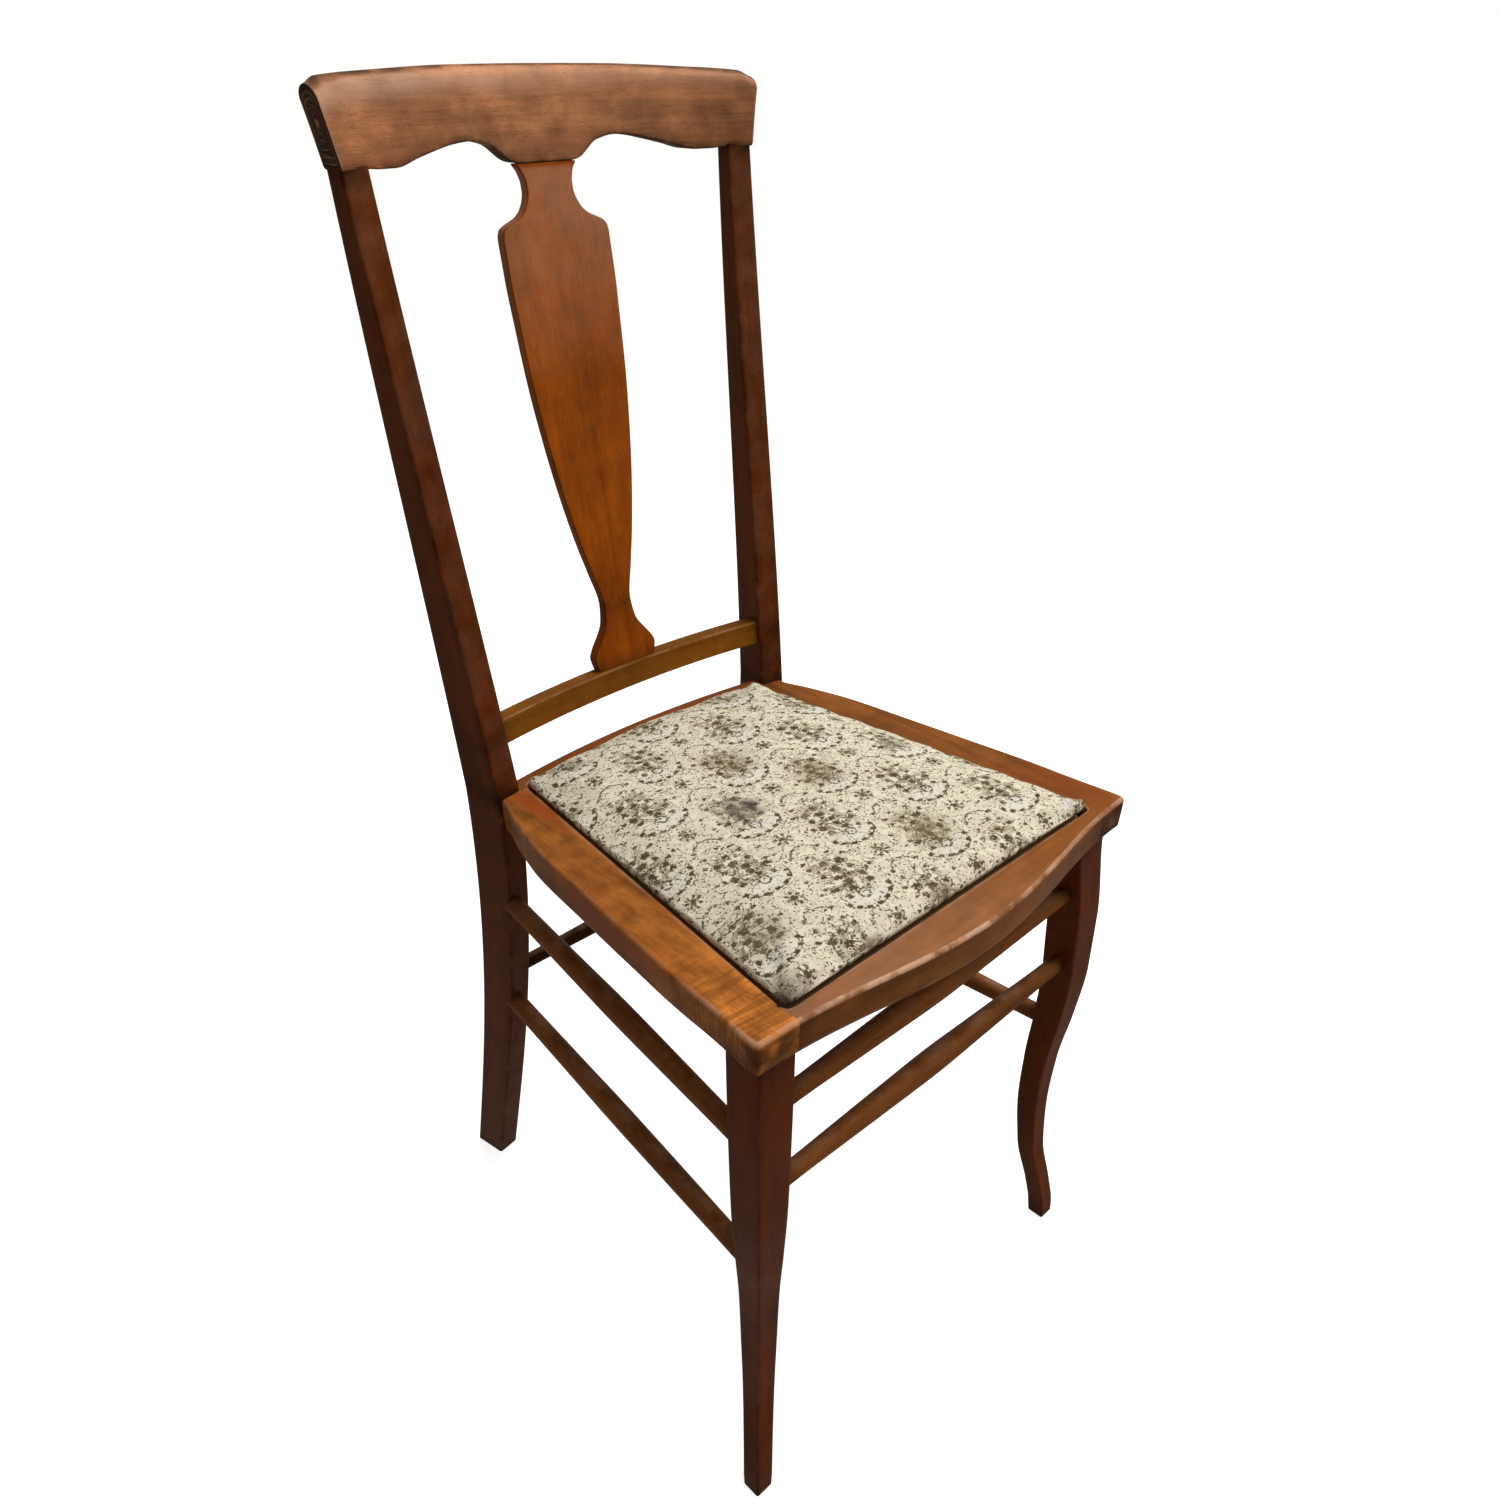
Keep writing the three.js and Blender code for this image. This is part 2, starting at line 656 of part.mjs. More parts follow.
function splatRing(share) {
  const half = splatHalfAt(share);
  const z = mix(splatBottom, splatTop, share);
  const front = splatFront(share);
  const rear = front + splatThickness;
  const cut = splatArris;
  const outline = [
    [-half + cut, front], [half - cut, front], [half, front + cut], [half, rear - cut],
    [half - cut, rear], [-half + cut, rear], [-half, rear - cut], [-half, front + cut],
  ];
  return outline.map(([x, y]) => new THREE.Vector3(x, y, z));
}

const splatStations = [...splatFootShares, ...splatBodyShares, ...splatNeckShares].map(([height]) => height);
const splatPlaces = splatStations.slice(1).flatMap((height, k) => (
  steps(splatSteps).slice(1).map((part) => mix(splatStations[k], height, part))
));
const splatBody = loftUp([0, ...splatPlaces].map(splatRing));

// Tongues of the splat, level with its back
function splatTongues(spare) {
  const tongue = (share, low, high) => {
    const half = splatHalfAt(share) - tongueMargin + spare;
    const rear = splatFront(share) + splatThickness;
    return box([-half, rear - tongueThickness - spare, low], [half, rear + spare, high]);
  };
  const lower = tongue(0, splatBottom - tongueLength - spare, splatBottom + tongueMargin);
  const upper = tongue(1, splatTop - tongueMargin, splatTop + tongueLength + spare);
  return lower.add(upper);
}

// Dowels on the left side: each pins two pieces, and its hole is cut in both

const alongX = new THREE.Vector3(1, 0, 0);
const alongY = new THREE.Vector3(0, 1, 0);
const alongZ = new THREE.Vector3(0, 0, 1);

function dowelAt(middle, along, half, radius) {
  const ends = [-half, half].map((distance) => middle.clone().addScaledVector(along, distance));
  return {
    solid: rod(...ends, radius, dowelSides),
    hole: rod(...ends, radius, dowelSides, fit),
  };
}

const dowels = {
  dowel_crest: dowelAt(
    postPoint(postTop, 0.5, 0.5).setZ(crestBase - fit / 2), alongZ, dowelHalf, dowelRadius,
  ),
  dowel_side_rail: dowelAt(postPoint(seatHeight - sideDowelDrop, 0.5, 0), alongY, dowelHalf, dowelRadius),
  dowel_front_rail: dowelAt(
    new THREE.Vector3(frontJointHalf, -(frameFrontDepth - frontDowelInset), seatHeight - frontDowelDrop),
    alongX, dowelHalf, frameDowelRadius,
  ),
  dowel_back_rail: dowelAt(
    postPoint(seatHeight - backDowelDrop, 1, 0).setY(postFrontDepth + backDowelInset),
    alongX, dowelHalf, frameDowelRadius,
  ),
  dowel_front_leg: dowelAt(
    legCentre(legTop).setZ(legSeat + legDowelRise - dowelHalf), alongZ, dowelHalf, legDowelRadius,
  ),
};
const withMirror = (solid) => solid.add(mirrored(solid));
const dowelHoles = (names) => names.map((name) => withMirror(dowels[name].hole));

Object.entries(dowels).forEach(([name, { solid }]) => placePair(name, solid, 'paleWood'));

// Corner blocks and screws

const blockBottom = legSeat + blockLift;
const blockTop = blockBottom + blockHeight;

// Screw whose head starts at a point, with a pointed tip
function screw(head, along, length) {
  const tip = head.clone().addScaledVector(along, length);
  const profile = (spare) => [
    [0, -spare], [screwHead + spare, -spare], [screwHead + spare, spare],
    [screwShank + spare, screwHeadHeight], [screwShank + spare, length - screwTip + spare],
    [0, length + spare],
  ];
  const pocket = rod(head.clone().addScaledVector(along, -blockLeg), head, screwHead + fit, screwSides);
  return {
    solid: turned(head, tip, profile(0), screwSides),
    hole: turned(head, tip, profile(fit), screwSides).add(pocket),
  };
}

function cornerBlock(corner, next, previous) {
  const ways = [next, previous].map((point) => point.clone().sub(corner).normalize());
  const heel = ways.reduce((point, way) => point.addScaledVector(way, fit), corner.clone());
  const points = [heel, ...ways.map((way) => heel.clone().addScaledVector(way, blockLeg))];
  const blank = slab(points, blockBottom, blockTop);
  const screws = ways.map((way, k) => {
    const inwards = ways[1 - k].clone().addScaledVector(way, -way.dot(ways[1 - k])).normalize();
    const reach = blockLeg * (1 - screwAlongShare) - screwSink;
    const foot = corner.clone().addScaledVector(way, blockLeg * screwAlongShare);
    const at = foot.addScaledVector(inwards, reach);
    const head = new THREE.Vector3(at.x, at.y, (blockBottom + blockTop) / 2);
    return screw(head, new THREE.Vector3(-inwards.x, -inwards.y, 0), reach + screwBite);
  });
  const holes = joinAll(screws.map(({ hole }) => hole));
  return { solid: blank.subtract(holes), holes, screws: screws.map(({ solid }) => solid) };
}

const wellCorners = openingCorners(ledgeWidth, 0).map(([x, y]) => new THREE.Vector2(x, y));
const blocks = {
  front: cornerBlock(wellCorners[0], wellCorners.at(-1), wellCorners[1]),
  back: cornerBlock(wellCorners[1], wellCorners[2], wellCorners[0]),
};
const screwHoles = Object.values(blocks).map(({ holes }) => withMirror(holes));

Object.entries(blocks).forEach(([end, { solid, screws }]) => {
  placePair(`corner_block_${end}`, solid, 'paleWood');
  screws.forEach((one, k) => placePair(`block_screw_${end}_${k + 1}`, one, 'steel'));
});

// Drop-in seat frame

const dropOuter = seatGap + dropRailInset;
const dropFrame = slab(opening(dropOuter, openingCorner), dropBottom, dropTop)
  .subtract(slab(opening(dropOuter + dropRailWidth, 0), dropBottom - overrun, dropTop + overrun));
const dropFrontJoint = openingFront + dropOuter + dropRailWidth;
const dropBackJoint = openingBackCorner - dropOuter - dropRailWidth;
const dropSide = box([0, dropFrontJoint + fit, 0], [far, dropBackJoint - fit, far]);
const dropRails = {
  drop_in_frame_front: dropFrame.intersect(box([-far, -far, 0], [far, dropFrontJoint, far])),
  drop_in_frame_back: dropFrame.intersect(box([-far, dropBackJoint, 0], [far, far, far])),
  drop_in_frame_left: dropFrame.intersect(dropSide),
  drop_in_frame_right: dropFrame.intersect(mirrored(dropSide)),
};
const dropMiddle = (dropBottom + dropTop) / 2;
const dropSideAt = (y) => THREE.MathUtils.mapLinear(
  y, openingFront, openingBackCorner, openingFrontHalf, openingBackHalf,
) - dropOuter - dropRailWidth / 2;
const dropDowels = [dropFrontJoint, dropBackJoint].map((y) => dowelAt(
  new THREE.Vector3(dropSideAt(y), y, dropMiddle), alongY, dropDowelHalf, dropDowelRadius,
));

placePair('drop_in_dowel_front', dropDowels[0].solid, 'paleWood');
placePair('drop_in_dowel_back', dropDowels[1].solid, 'paleWood');

// Webbing: three straps from front to back, and three across above them

const strapFront = openingFront + dropOuter + dropRailWidth - webbingHold;
const strapBack = openingBackCorner - dropOuter - dropRailWidth + webbingHold;
const strapHalfAt = (y) => dropSideAt(y) - dropRailWidth / 2 + webbingHold;
webbingAcrossShares.forEach((share, k) => {
  const x = share * strapHalfAt(strapBack);
  const strap = box(
    [x - webbingWidth / 2, strapFront, webbingLow],
    [x + webbingWidth / 2, strapBack, webbingLow + webbingThickness],
  );
  place(`webbing_lengthwise_${k + 1}`, strap, 'webbing');
});
webbingAlongShares.forEach((share, k) => {
  const y = mix(strapFront, strapBack, share);
  const half = strapHalfAt(y + webbingWidth / 2);
  const strap = box(
    [-half, y - webbingWidth / 2, webbingHigh],
    [half, y + webbingWidth / 2, webbingHigh + webbingThickness],
  );
  place(`webbing_crosswise_${k + 1}`, strap, 'webbing');
});

// Cloths over the webbing and under the frame

const clothOutline = opening(seatGap + clothMargin, openingCorner);
const bottomOutline = opening(ledgeWidth + bottomClothMargin, openingCorner);
place('base_cloth', slab(clothOutline, clothLevel, clothLevel + clothThickness), 'hessian');
const bottomClothTop = dropBottom - fit;
const bottomCloth = slab(bottomOutline, bottomClothTop - clothThickness, bottomClothTop);
place('bottom_cloth', bottomCloth, 'bottomCloth');

// Cushion: a drawn-in side, a rolled edge and a crown, over the base cloth

const cushionMiddle = (openingFront + openingBackCorner) / 2;

function cushionRing(share, margin, z) {
  const outline = opening(seatGap + margin, openingCorner, cushionCornerSteps);
  return outline.map((point) => new THREE.Vector3(
    point.x * share, mix(cushionMiddle, point.y, share), z,
  ));
}

const cushionRings = [
  cushionRing(1, cushionDrawIn, cushionBottom),
  cushionRing(1, cushionDrawIn * cushionTuckShare, cushionBottom + cushionEdge * cushionBulgeShare),
  ...steps(cushionRollSteps).map((part) => cushionRing(
    1, cushionRoll * (1 - Math.cos((part * Math.PI) / 2)),
    cushionBottom + cushionEdge + cushionRoll * Math.sin((part * Math.PI) / 2),
  )),
  ...cushionCrownShares.map((share) => cushionRing(
    share, cushionRoll, cushionBottom + cushionEdge + cushionRoll
      + (cushionCrown - cushionRoll) * (1 - share ** cushionCrownPower),
  )),
];
place('seat_cushion', loftUp(cushionRings), 'cover');

// Pieces that others are let into

const post = cutAll(postSolid(0), [
  ...stretcherHoles(['rear', 'sideUpper']), lowRailTongues(fit),
  ...dowelHoles(['dowel_crest', 'dowel_side_rail', 'dowel_back_rail']),
]);
const leg = cutAll(legSolid, [
  ...stretcherHoles(['frontUpper', 'frontLower', 'sideUpper']), dowels.dowel_front_leg.hole,
]);
const [leftHole, rightHole] = stretcherHoles(['leftLower', 'rightLower']);
place('rear_post_left', post.subtract(leftHole), 'darkWood');
place('rear_post_right', mirrored(post.subtract(rightHole)), 'darkWood');
place('front_leg_left', leg.subtract(leftHole), 'darkWood');
place('front_leg_right', mirrored(leg.subtract(rightHole)), 'darkWood');

const splatSockets = splatTongues(fit);
const lowRail = lowRailBlank.subtract(postsClearance).add(lowRailTongues(0));
place('crest_rail', cutAll(crestBlank, [...dowelHoles(['dowel_crest']), splatSockets]), 'warmWood');
place('lower_back_rail', lowRail.subtract(splatSockets), 'darkWood');
place('splat', splatBody.add(splatTongues(0)), 'splatWood');

const railHoles = dowelHoles(['dowel_side_rail', 'dowel_front_rail', 'dowel_back_rail', 'dowel_front_leg']);
Object.entries(rails).forEach(([name, solid]) => {
  place(name, cutAll(solid, [...railHoles, ...screwHoles]), 'warmWood');
});
const dropHoles = dropDowels.map(({ hole }) => withMirror(hole));
Object.entries(dropRails).forEach(([name, solid]) => {
  place(name, cutAll(solid, dropHoles), 'paleWood');
});

// Scene graph, centred over the floor

const chair = new THREE.Group();
Object.entries(pieces).forEach(([name, { solid, finish }]) => {
  const { vertProperties, triVerts } = solid.getMesh();
  const geometry = new THREE.BufferGeometry();
  geometry.setAttribute('position', new THREE.BufferAttribute(vertProperties, 3));
  geometry.setIndex(new THREE.BufferAttribute(triVerts, 1));
  geometry.computeVertexNormals();
  const mesh = new THREE.Mesh(geometry, new THREE.MeshStandardMaterial(finishes[finish]));
  mesh.name = name;
  chair.add(mesh);
});
const bounds = new THREE.Box3().setFromObject(chair);
chair.position.y = -(bounds.min.y + bounds.max.y) / 2;

export default chair;
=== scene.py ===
"""Side chair with a vase splat and a drop-in seat: its looks, built round the packed model.

Lengths are in metres. The chair faces -Y, its left is +X, and the floor is at Z 0.
"""

import json

import bpy
import numpy as np
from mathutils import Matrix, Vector


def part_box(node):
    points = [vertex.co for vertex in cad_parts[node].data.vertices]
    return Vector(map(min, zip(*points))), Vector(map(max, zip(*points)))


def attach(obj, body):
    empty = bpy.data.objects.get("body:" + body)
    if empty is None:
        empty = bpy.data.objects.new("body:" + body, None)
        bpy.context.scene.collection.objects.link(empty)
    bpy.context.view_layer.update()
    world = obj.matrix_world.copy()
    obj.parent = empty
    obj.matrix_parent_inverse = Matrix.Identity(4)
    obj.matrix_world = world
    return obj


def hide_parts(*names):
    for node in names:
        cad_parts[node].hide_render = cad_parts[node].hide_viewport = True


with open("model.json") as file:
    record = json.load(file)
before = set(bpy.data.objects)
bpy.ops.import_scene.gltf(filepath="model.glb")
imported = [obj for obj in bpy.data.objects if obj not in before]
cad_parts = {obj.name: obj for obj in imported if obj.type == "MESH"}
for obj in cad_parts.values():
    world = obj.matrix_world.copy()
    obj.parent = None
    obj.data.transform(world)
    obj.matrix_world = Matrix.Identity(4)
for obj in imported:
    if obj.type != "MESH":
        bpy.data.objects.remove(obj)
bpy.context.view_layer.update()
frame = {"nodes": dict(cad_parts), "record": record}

bl_info = {
    "name": "Side chair",
    "version": (1, 0, 0),
    "blender": (4, 5, 0),
    "location": "View3D > Sidebar > Chair",
    "description": "Builds a wooden side chair with an upholstered drop-in seat",
    "category": "Add Mesh",
}

FRAME_BODY = "chair_frame"
SEAT_BODY = "drop_in_seat"
MM = 0.001
TURN = 2 * np.pi

# Shares of the sizes below, from one end of a piece to the other
RAIL_LIFT = [(0, 1), (0.14, 1), (0.33, 0.45), (0.58, 0), (0.78, 0.02), (1, 0.2)]
EDGE_INSET = [(0, 1), (0.12, 0.6), (0.5, 0.2), (0.82, 0), (1, 0)]
SIDE_OUTLINE = [
    (0, 0), (0.07, 0.15), (0.14, 0.292), (0.195, 0.387), (0.261, 0.463), (0.375, 0.556),
    (0.491, 0.655), (0.611, 0.755), (0.75, 0.866), (0.87, 0.926), (1, 1),
]
POST_SPREAD = (1.1, -0.1)
POST_RAKE = (0.84, 0.42, -0.26)
FOOT_SWEEP = (0.056, 1.41, -0.413, -0.053)
CREST_LOWER = [
    (0, -0.074), (0.13, -0.074), (0.165, -0.056), (0.265, 0.146), (0.353, 0.196), (0.44, 0.174),
    (0.53, 0.122), (0.62, 0.062), (0.735, -0.015), (0.82, -0.012), (0.865, 0), (1, 0),
]
CREST_TOP = [(0, 1), (0.35, 0.993), (0.7, 0.953), (0.94, 0.908), (1, 0.835)]
SPLAT_FOOT = [(0, 0.93), (0.01, 0.965), (0.028, 1), (0.042, 0.93)]
SPLAT_BODY = [
    (0.064, 0.282), (0.078, 0.166), (0.092, 0.08), (0.111, 0.03), (0.138, 0), (0.207, 0.172),
    (0.276, 0.364), (0.386, 0.602), (0.497, 0.777), (0.607, 0.9), (0.718, 0.966), (0.8, 1),
    (0.85, 1), (0.868, 1), (0.879, 0.985), (0.884, 0.963), (0.889, 0.927),
]
SPLAT_NECK = [
    (0.893, 0.828), (0.898, 0.679), (0.902, 0.538), (0.907, 0.385), (0.911, 0.305), (0.916, 0.225),
    (0.921, 0.168), (0.931, 0.084), (0.941, 0.027), (0.95, 0), (0.965, 0), (0.978, 0.042),
    (0.989, 0.107), (1, 0.2),
]
LEG_OUT = [
    (0, 0.9), (0.029, 0.84), (0.098, 0.3), (0.215, -0.76), (0.332, -1), (0.449, -0.73),
    (0.566, 0.06), (0.683, 0.6), (0.8, 0.62), (1, 0),
]
LEG_SIDE = [
    (0, 0.5), (0.029, 0.52), (0.098, 0.53), (0.215, 0.565), (0.332, 0.625), (0.449, 0.68),
    (0.566, 0.79), (0.683, 0.89), (0.8, 0.94), (1, 1),
]
STRETCHER_SWELL = [(0, 0), (0.1, 0.03), (0.21, 0.28), (0.35, 0.66), (0.5, 1)]

# The posts' width, depth and turn in degrees: at the seat, at the top and at the foot
POST_WIDTH = (22 * MM, 21.2 * MM, 20.5 * MM)
POST_DEPTH = (36.9 * MM, 14.9 * MM, 31.7 * MM)
POST_TURN = (10, 7.8, 9.1)

# How far the cloths and the tacks under the seat stand inside the opening
DUST_CLOTH_INSET, HESSIAN_INSET, TACK_INSET = 14 * MM, 10.2 * MM, 19 * MM
CUSHION_CORNER = 3.5 * MM
JOINT_GAP = 0.1 * MM
MIRROR_SHIFT = 0.7
OPENING_MIDDLE = np.array([0, -30.5 * MM])
WEBBING_RUNS = [f"{way}_{number}" for way in ("lengthwise", "crosswise") for number in (1, 2, 3)]

# Blobs of the cover's bouquets: middle across and along, half width and half height, in millimetres
COVER_BLOBS = [
    (1, 13, 2.4, 3.2), (2.5, 6.5, 2.8, 2), (-12.3, 14, 2.5, 3.2), (-12, 6.5, 3, 2),
    (-18.5, 17, 2, 2), (14.5, 12, 3.6, 2.2), (18.5, 16.5, 2.2, 1.6), (11.5, 1.7, 2.1, 2.4),
    (2.5, 19.5, 3, 2), (-12, 24.5, 2.3, 2.5), (-1.7, 27.5, 3.6, 2.8), (-10.8, 33, 3.5, 2.8),
    (-18, 37, 2.4, 1.8), (0, 37, 2.4, 1.6), (12.5, 36.7, 2.6, 1.6), (10, 26, 2.4, 2),
    (10.8, 44, 2.5, 1.4), (3, 48, 1.6, 1.5), (-11.5, 45, 2.3, 1.5), (-11.7, -48.5, 1.8, 1.6),
    (12.3, -48.5, 2.2, 1.5), (0, -28, 2.8, 2.6), (17.5, -22, 2.2, 1.4), (-17, -33, 1.6, 1.5),
    (16.5, -37, 1.8, 1.4),
]
# Stains of the cover: place across and along, reach in millimetres, colour and weight
COVER_STAINS = [
    (-45, -32, 20, "6f665c", 0.7), (-37, -32, 6, "221c17", 0.8), (-6, 24, 26, "75633f", 0.45),
    (30, -34, 26, "7d6842", 0.5), (32, -138, 26, "84704a", 0.5), (108, -41, 13, "939579", 0.5),
    (-125, -135, 24, "85805a", 0.35), (-158, -188, 26, "4a3d30", 0.85),
    (-10, -188, 14, "85735a", 0.5), (-80, -190, 12, "5f5340", 0.6), (140, -181, 8, "f6efe8", 0.7),
    (144, -186, 3.2, "4a2118", 0.95),
]
RUST = "5a3320"
# Where the wood's ramp stops, and how much lighter or darker than the finish it is there
WOOD_STOPS = [(0.05, 0.42), (0.36, 0.78), (0.62, 1.08), (0.95, 1.5)]

# The photograph's view
CAMERA_PLACE = (-0.556, -0.5823, 0.9294)
CAMERA_AIM = (0.6043, 0.6269, -0.4918)
CAMERA_LENS, CAMERA_SENSOR = 29.7, 36


# Settings that a user would change


def length(name, description, millimetres):
    """Length property whose default is given in millimetres."""
    return bpy.props.FloatProperty(
        name=name, description=description, default=millimetres * MM, min=0, precision=4,
        unit="LENGTH",
    )


def share(name, description, default, top=1.0):
    """Number property from 0 up to a top value."""
    return bpy.props.FloatProperty(
        name=name, description=description, default=default, min=0, max=top
    )


def colour(name, description, code):
    """Colour property whose default is a screen colour such as 8a5a32."""
    return bpy.props.FloatVectorProperty(
        name=name, description=description, default=linear(code), size=3, min=0, max=1,
        subtype="COLOR",
    )


def linear(code):
    """Linear colour of a screen colour: s becomes ((s + 0.055) / 1.055) to the power 2.4."""
    screen = np.array([int(code[k : k + 2], 16) / 255 for k in (0, 2, 4)])
    curved = ((screen + 0.055) / 1.055) ** 2.4
    return tuple(np.where(screen > 0.04045, curved, screen / 12.92).tolist())


class ChairSeatFrameSizes(bpy.types.PropertyGroup):
    """Sizes of the seat frame and of its opening."""

    height: length("Seat height", "Top of the seat frame above the floor", 445)
    depth: length("Rail depth", "Height of the rails", 28)
    lift: length("Front lift", "How much shallower the rails are over the front legs", 2.5)
    front: length("Front depth", "Front corners, in front of the line across the seat", 198.5)
    front_half: length("Front half width", "Half the width at the front corners", 192.5)
    rear_half: length("Rear half width", "Half the width at the rear posts", 147)
    bow: length("Front bow", "How far the middle of the front rail stands out", 22)
    corner: length("Corner radius", "Rounding of the front corners", 4)
    back_reach: length("Back rail reach", "Back of the back rail behind the posts' front", 29.2)
    back_bow: length("Back bow", "Bow of the back rail", 14.5)
    edge_inset: length("Edge inset", "How far the rails' sides draw in at the bottom", 2)
    top_arris: length("Top arris", "Radius of the rails' upper outer edge", 3)
    open_front: length("Opening front", "Front of the opening before the line across the seat", 189)
    open_front_half: length("Opening front half width", "Half its width at its front", 159.5)
    open_back: length("Opening back", "Back corners of the opening behind the line", 127.9)
    open_back_half: length("Opening back half width", "Half its width at its back", 121.2)
    open_bow: length("Opening bow", "Bow of the opening's back edge", 7.3)
    open_corner: length("Opening corner", "Rounding of the opening's corners", 8)
    joint: length("Front joint", "Half the length of the front rail", 159.3)
    back_joint: length("Back joint", "Joint of side and back rails behind the line", 122.5)
    rebate: length("Rebate", "Depth of the rebate for the drop-in seat", 15)
    ledge: length("Ledge", "Width of the ledge under the drop-in seat", 12)


class ChairBackSizes(bpy.types.PropertyGroup):
    """Sizes of the rear posts, the crest rail, the lower rail and the splat."""

    post_top: length("Post top", "Top of the rear posts", 866.4)
    post_front: length("Post front", "Front of the posts behind the line across the seat", 119.4)
    post_outer: length("Post outer half width", "Half the width over the posts at the seat", 149.4)
    post_spread: length("Post spread", "How far each post leans out up to its top", 20)
    post_rake: length("Post rake", "How far the posts lean back up to their top", 62.2)
    foot_draw: length("Foot draw", "How far each rear foot stands in", 11.3)
    foot_sweep: length("Foot sweep", "How far each rear foot stands back", 91.4)
    post_arris: length("Post arris", "Radius of the posts' edges", 2.2)
    crest_height: length("Crest height", "Height of the crest rail", 55.7)
    crest_flare: length("Crest flare", "How far the crest's ends lean out", 9.3)
    crest_bow: length("Crest bow", "Bow of the crest rail", 31.6)
    crest_forward: length("Crest forward", "How far the crest stands before the posts", 2.6)
    crest_thin: length("Crest thickness", "Thickness at the middle of the crest", 13)
    crest_thick: length("Crest end thickness", "Thickness at the crest's ends", 23)
    crest_round: length("Crest rounding", "Height of the crest's rounded top", 8.4)
    low_lift: length("Lower rail lift", "Lower back rail above the seat frame", 36)
    low_height: length("Lower rail height", "Height of the lower back rail", 19.5)
    low_thickness: length("Lower rail thickness", "Thickness of the lower back rail", 13)
    low_reach: length("Lower rail reach", "Front of the lower rail behind the posts' front", 25)
    low_bow: length("Lower rail bow", "Bow of the lower back rail", 11.4)
    splat_thickness: length("Splat thickness", "Thickness of the splat", 8)
    splat_back: length("Splat set back", "Foot of the splat behind the lower rail's front", 4)
    splat_bow: length("Splat bow", "Bow of the splat between its ends", 0.7)
    splat_foot: length("Splat foot", "Half the width of the splat's foot", 30.5)
    splat_waist: length("Splat waist", "Half the width of the splat's waist", 13.2)
    splat_shoulder: length("Splat shoulder", "Half the width of the splat's shoulder", 46)
    splat_neck: length("Splat neck", "Half the width of the splat's neck", 19.8)


class ChairLegSizes(bpy.types.PropertyGroup):
    """Sizes of the front legs and the stretchers."""

    inset_side: length("Inset at the side", "Leg inside the seat frame's side", 10.2)
    inset_front: length("Inset at the front", "Leg behind the seat frame's front corner", 7.7)
    side: length("Leg side", "Side of the leg at its top", 30.6)
    curve: length("Leg curve", "Reach of the leg's curve", 7.1)
    arris: length("Leg arris", "Radius of the legs' edges", 1.8)
    front_end: length("Front stretcher end", "Radius at the ends of the front stretchers", 6.6)
    front_middle: length("Front stretcher middle", "Radius at their middle", 9.5)
    side_end: length("Side stretcher end", "Radius at the ends of the side stretchers", 7.4)
    side_middle: length("Side stretcher middle", "Radius at their middle", 8.5)
    rear_end: length("Rear stretcher end", "Radius at the ends of the rear stretcher", 6)
    rear_middle: length("Rear stretcher middle", "Radius at its middle", 7)


class ChairCushionSizes(bpy.types.PropertyGroup):
    """Sizes of the upholstery."""

    bottom: length("Cushion bottom", "Underside of the stuffing above the floor", 442.3)
    edge: length("Edge height", "Height of the cushion's side", 6.5)
    roll: length("Edge roll", "Radius of the rolled edge", 3.5)
    crown: length("Crown", "Height of the crown over the side", 11.5)
    gap: length("Gap", "Gap between the cushion and the rails", 0.8)
    swell: length("Swell", "Most that the stuffing may lift the cover", 3)
    tack: length("Tack radius", "Radius of the tacks' heads", 3.2)
    tack_spacing: length("Tack spacing", "Distance between tacks", 27)
    repeat_across: length("Pattern width", "Width of one repeat of the figured cover", 82)
    repeat_along: length("Pattern length", "Length of one repeat of the figured cover", 103)


class ChairFinishes(bpy.types.PropertyGroup):
    """Colours and gloss of the woods and cloths."""

    crest: colour("Crest wood", "Crest rail", "b0754f")
    splat: colour("Splat wood", "Splat", "9d4c08")
    rail: colour("Rail wood", "Seat rails", "a5622a")
    post: colour("Post wood", "Rear posts and front legs", "672e0b")
    low_rail: colour("Lower rail wood", "Lower back rail", "865012")
    stretcher: colour("Stretcher wood", "Stretchers", "8c5224")
    # The worn colour also paints highlights along the arrises and pale sheen on the tops.
    worn_and_highlight: colour("Worn edge", "Bare wood on rubbed edges", "dcae90")
    # The grime colour also paints shade on the sides of the seat rails and under the stretchers.
    grime: colour("Grime", "Old polish and dirt in the joints", "160b06")
    bare: colour("Bare wood", "Hidden frame, blocks and dowels", "b48a58")
    ground: colour("Cover ground", "Ground of the figured cover", "fff2d8")
    figure: colour("Cover figure", "Figure of the cover", "372b1b")
    jute: colour("Jute", "Webbing and hessian", "a98c5c")
    dust_cloth: colour("Dust cloth", "Cloth under the seat", "211e1c")
    steel: colour("Steel", "Screws and tacks", "7d7a76")
    roughness: share("Polish roughness", "Roughness of the old polish", 0.36)
    coat: share("Polish coat", "Weight of the clear coat", 0.02)


class ChairStageSettings(bpy.types.PropertyGroup):
    """Light and floor."""

    key: share("Overhead light", "Power of the overhead light in watts", 38, 1000)
    fill: share("Fill light", "Power of the fill light in watts", 10, 1000)
    sky: share("Surrounding light", "Strength of the light from all sides", 0.25, 10)
    glow: share("Floor glow", "How much the floor shines by itself", 0.8, 10)
    floor: colour("Floor", "Colour of the floor", "f4f3f1")


# Shapes


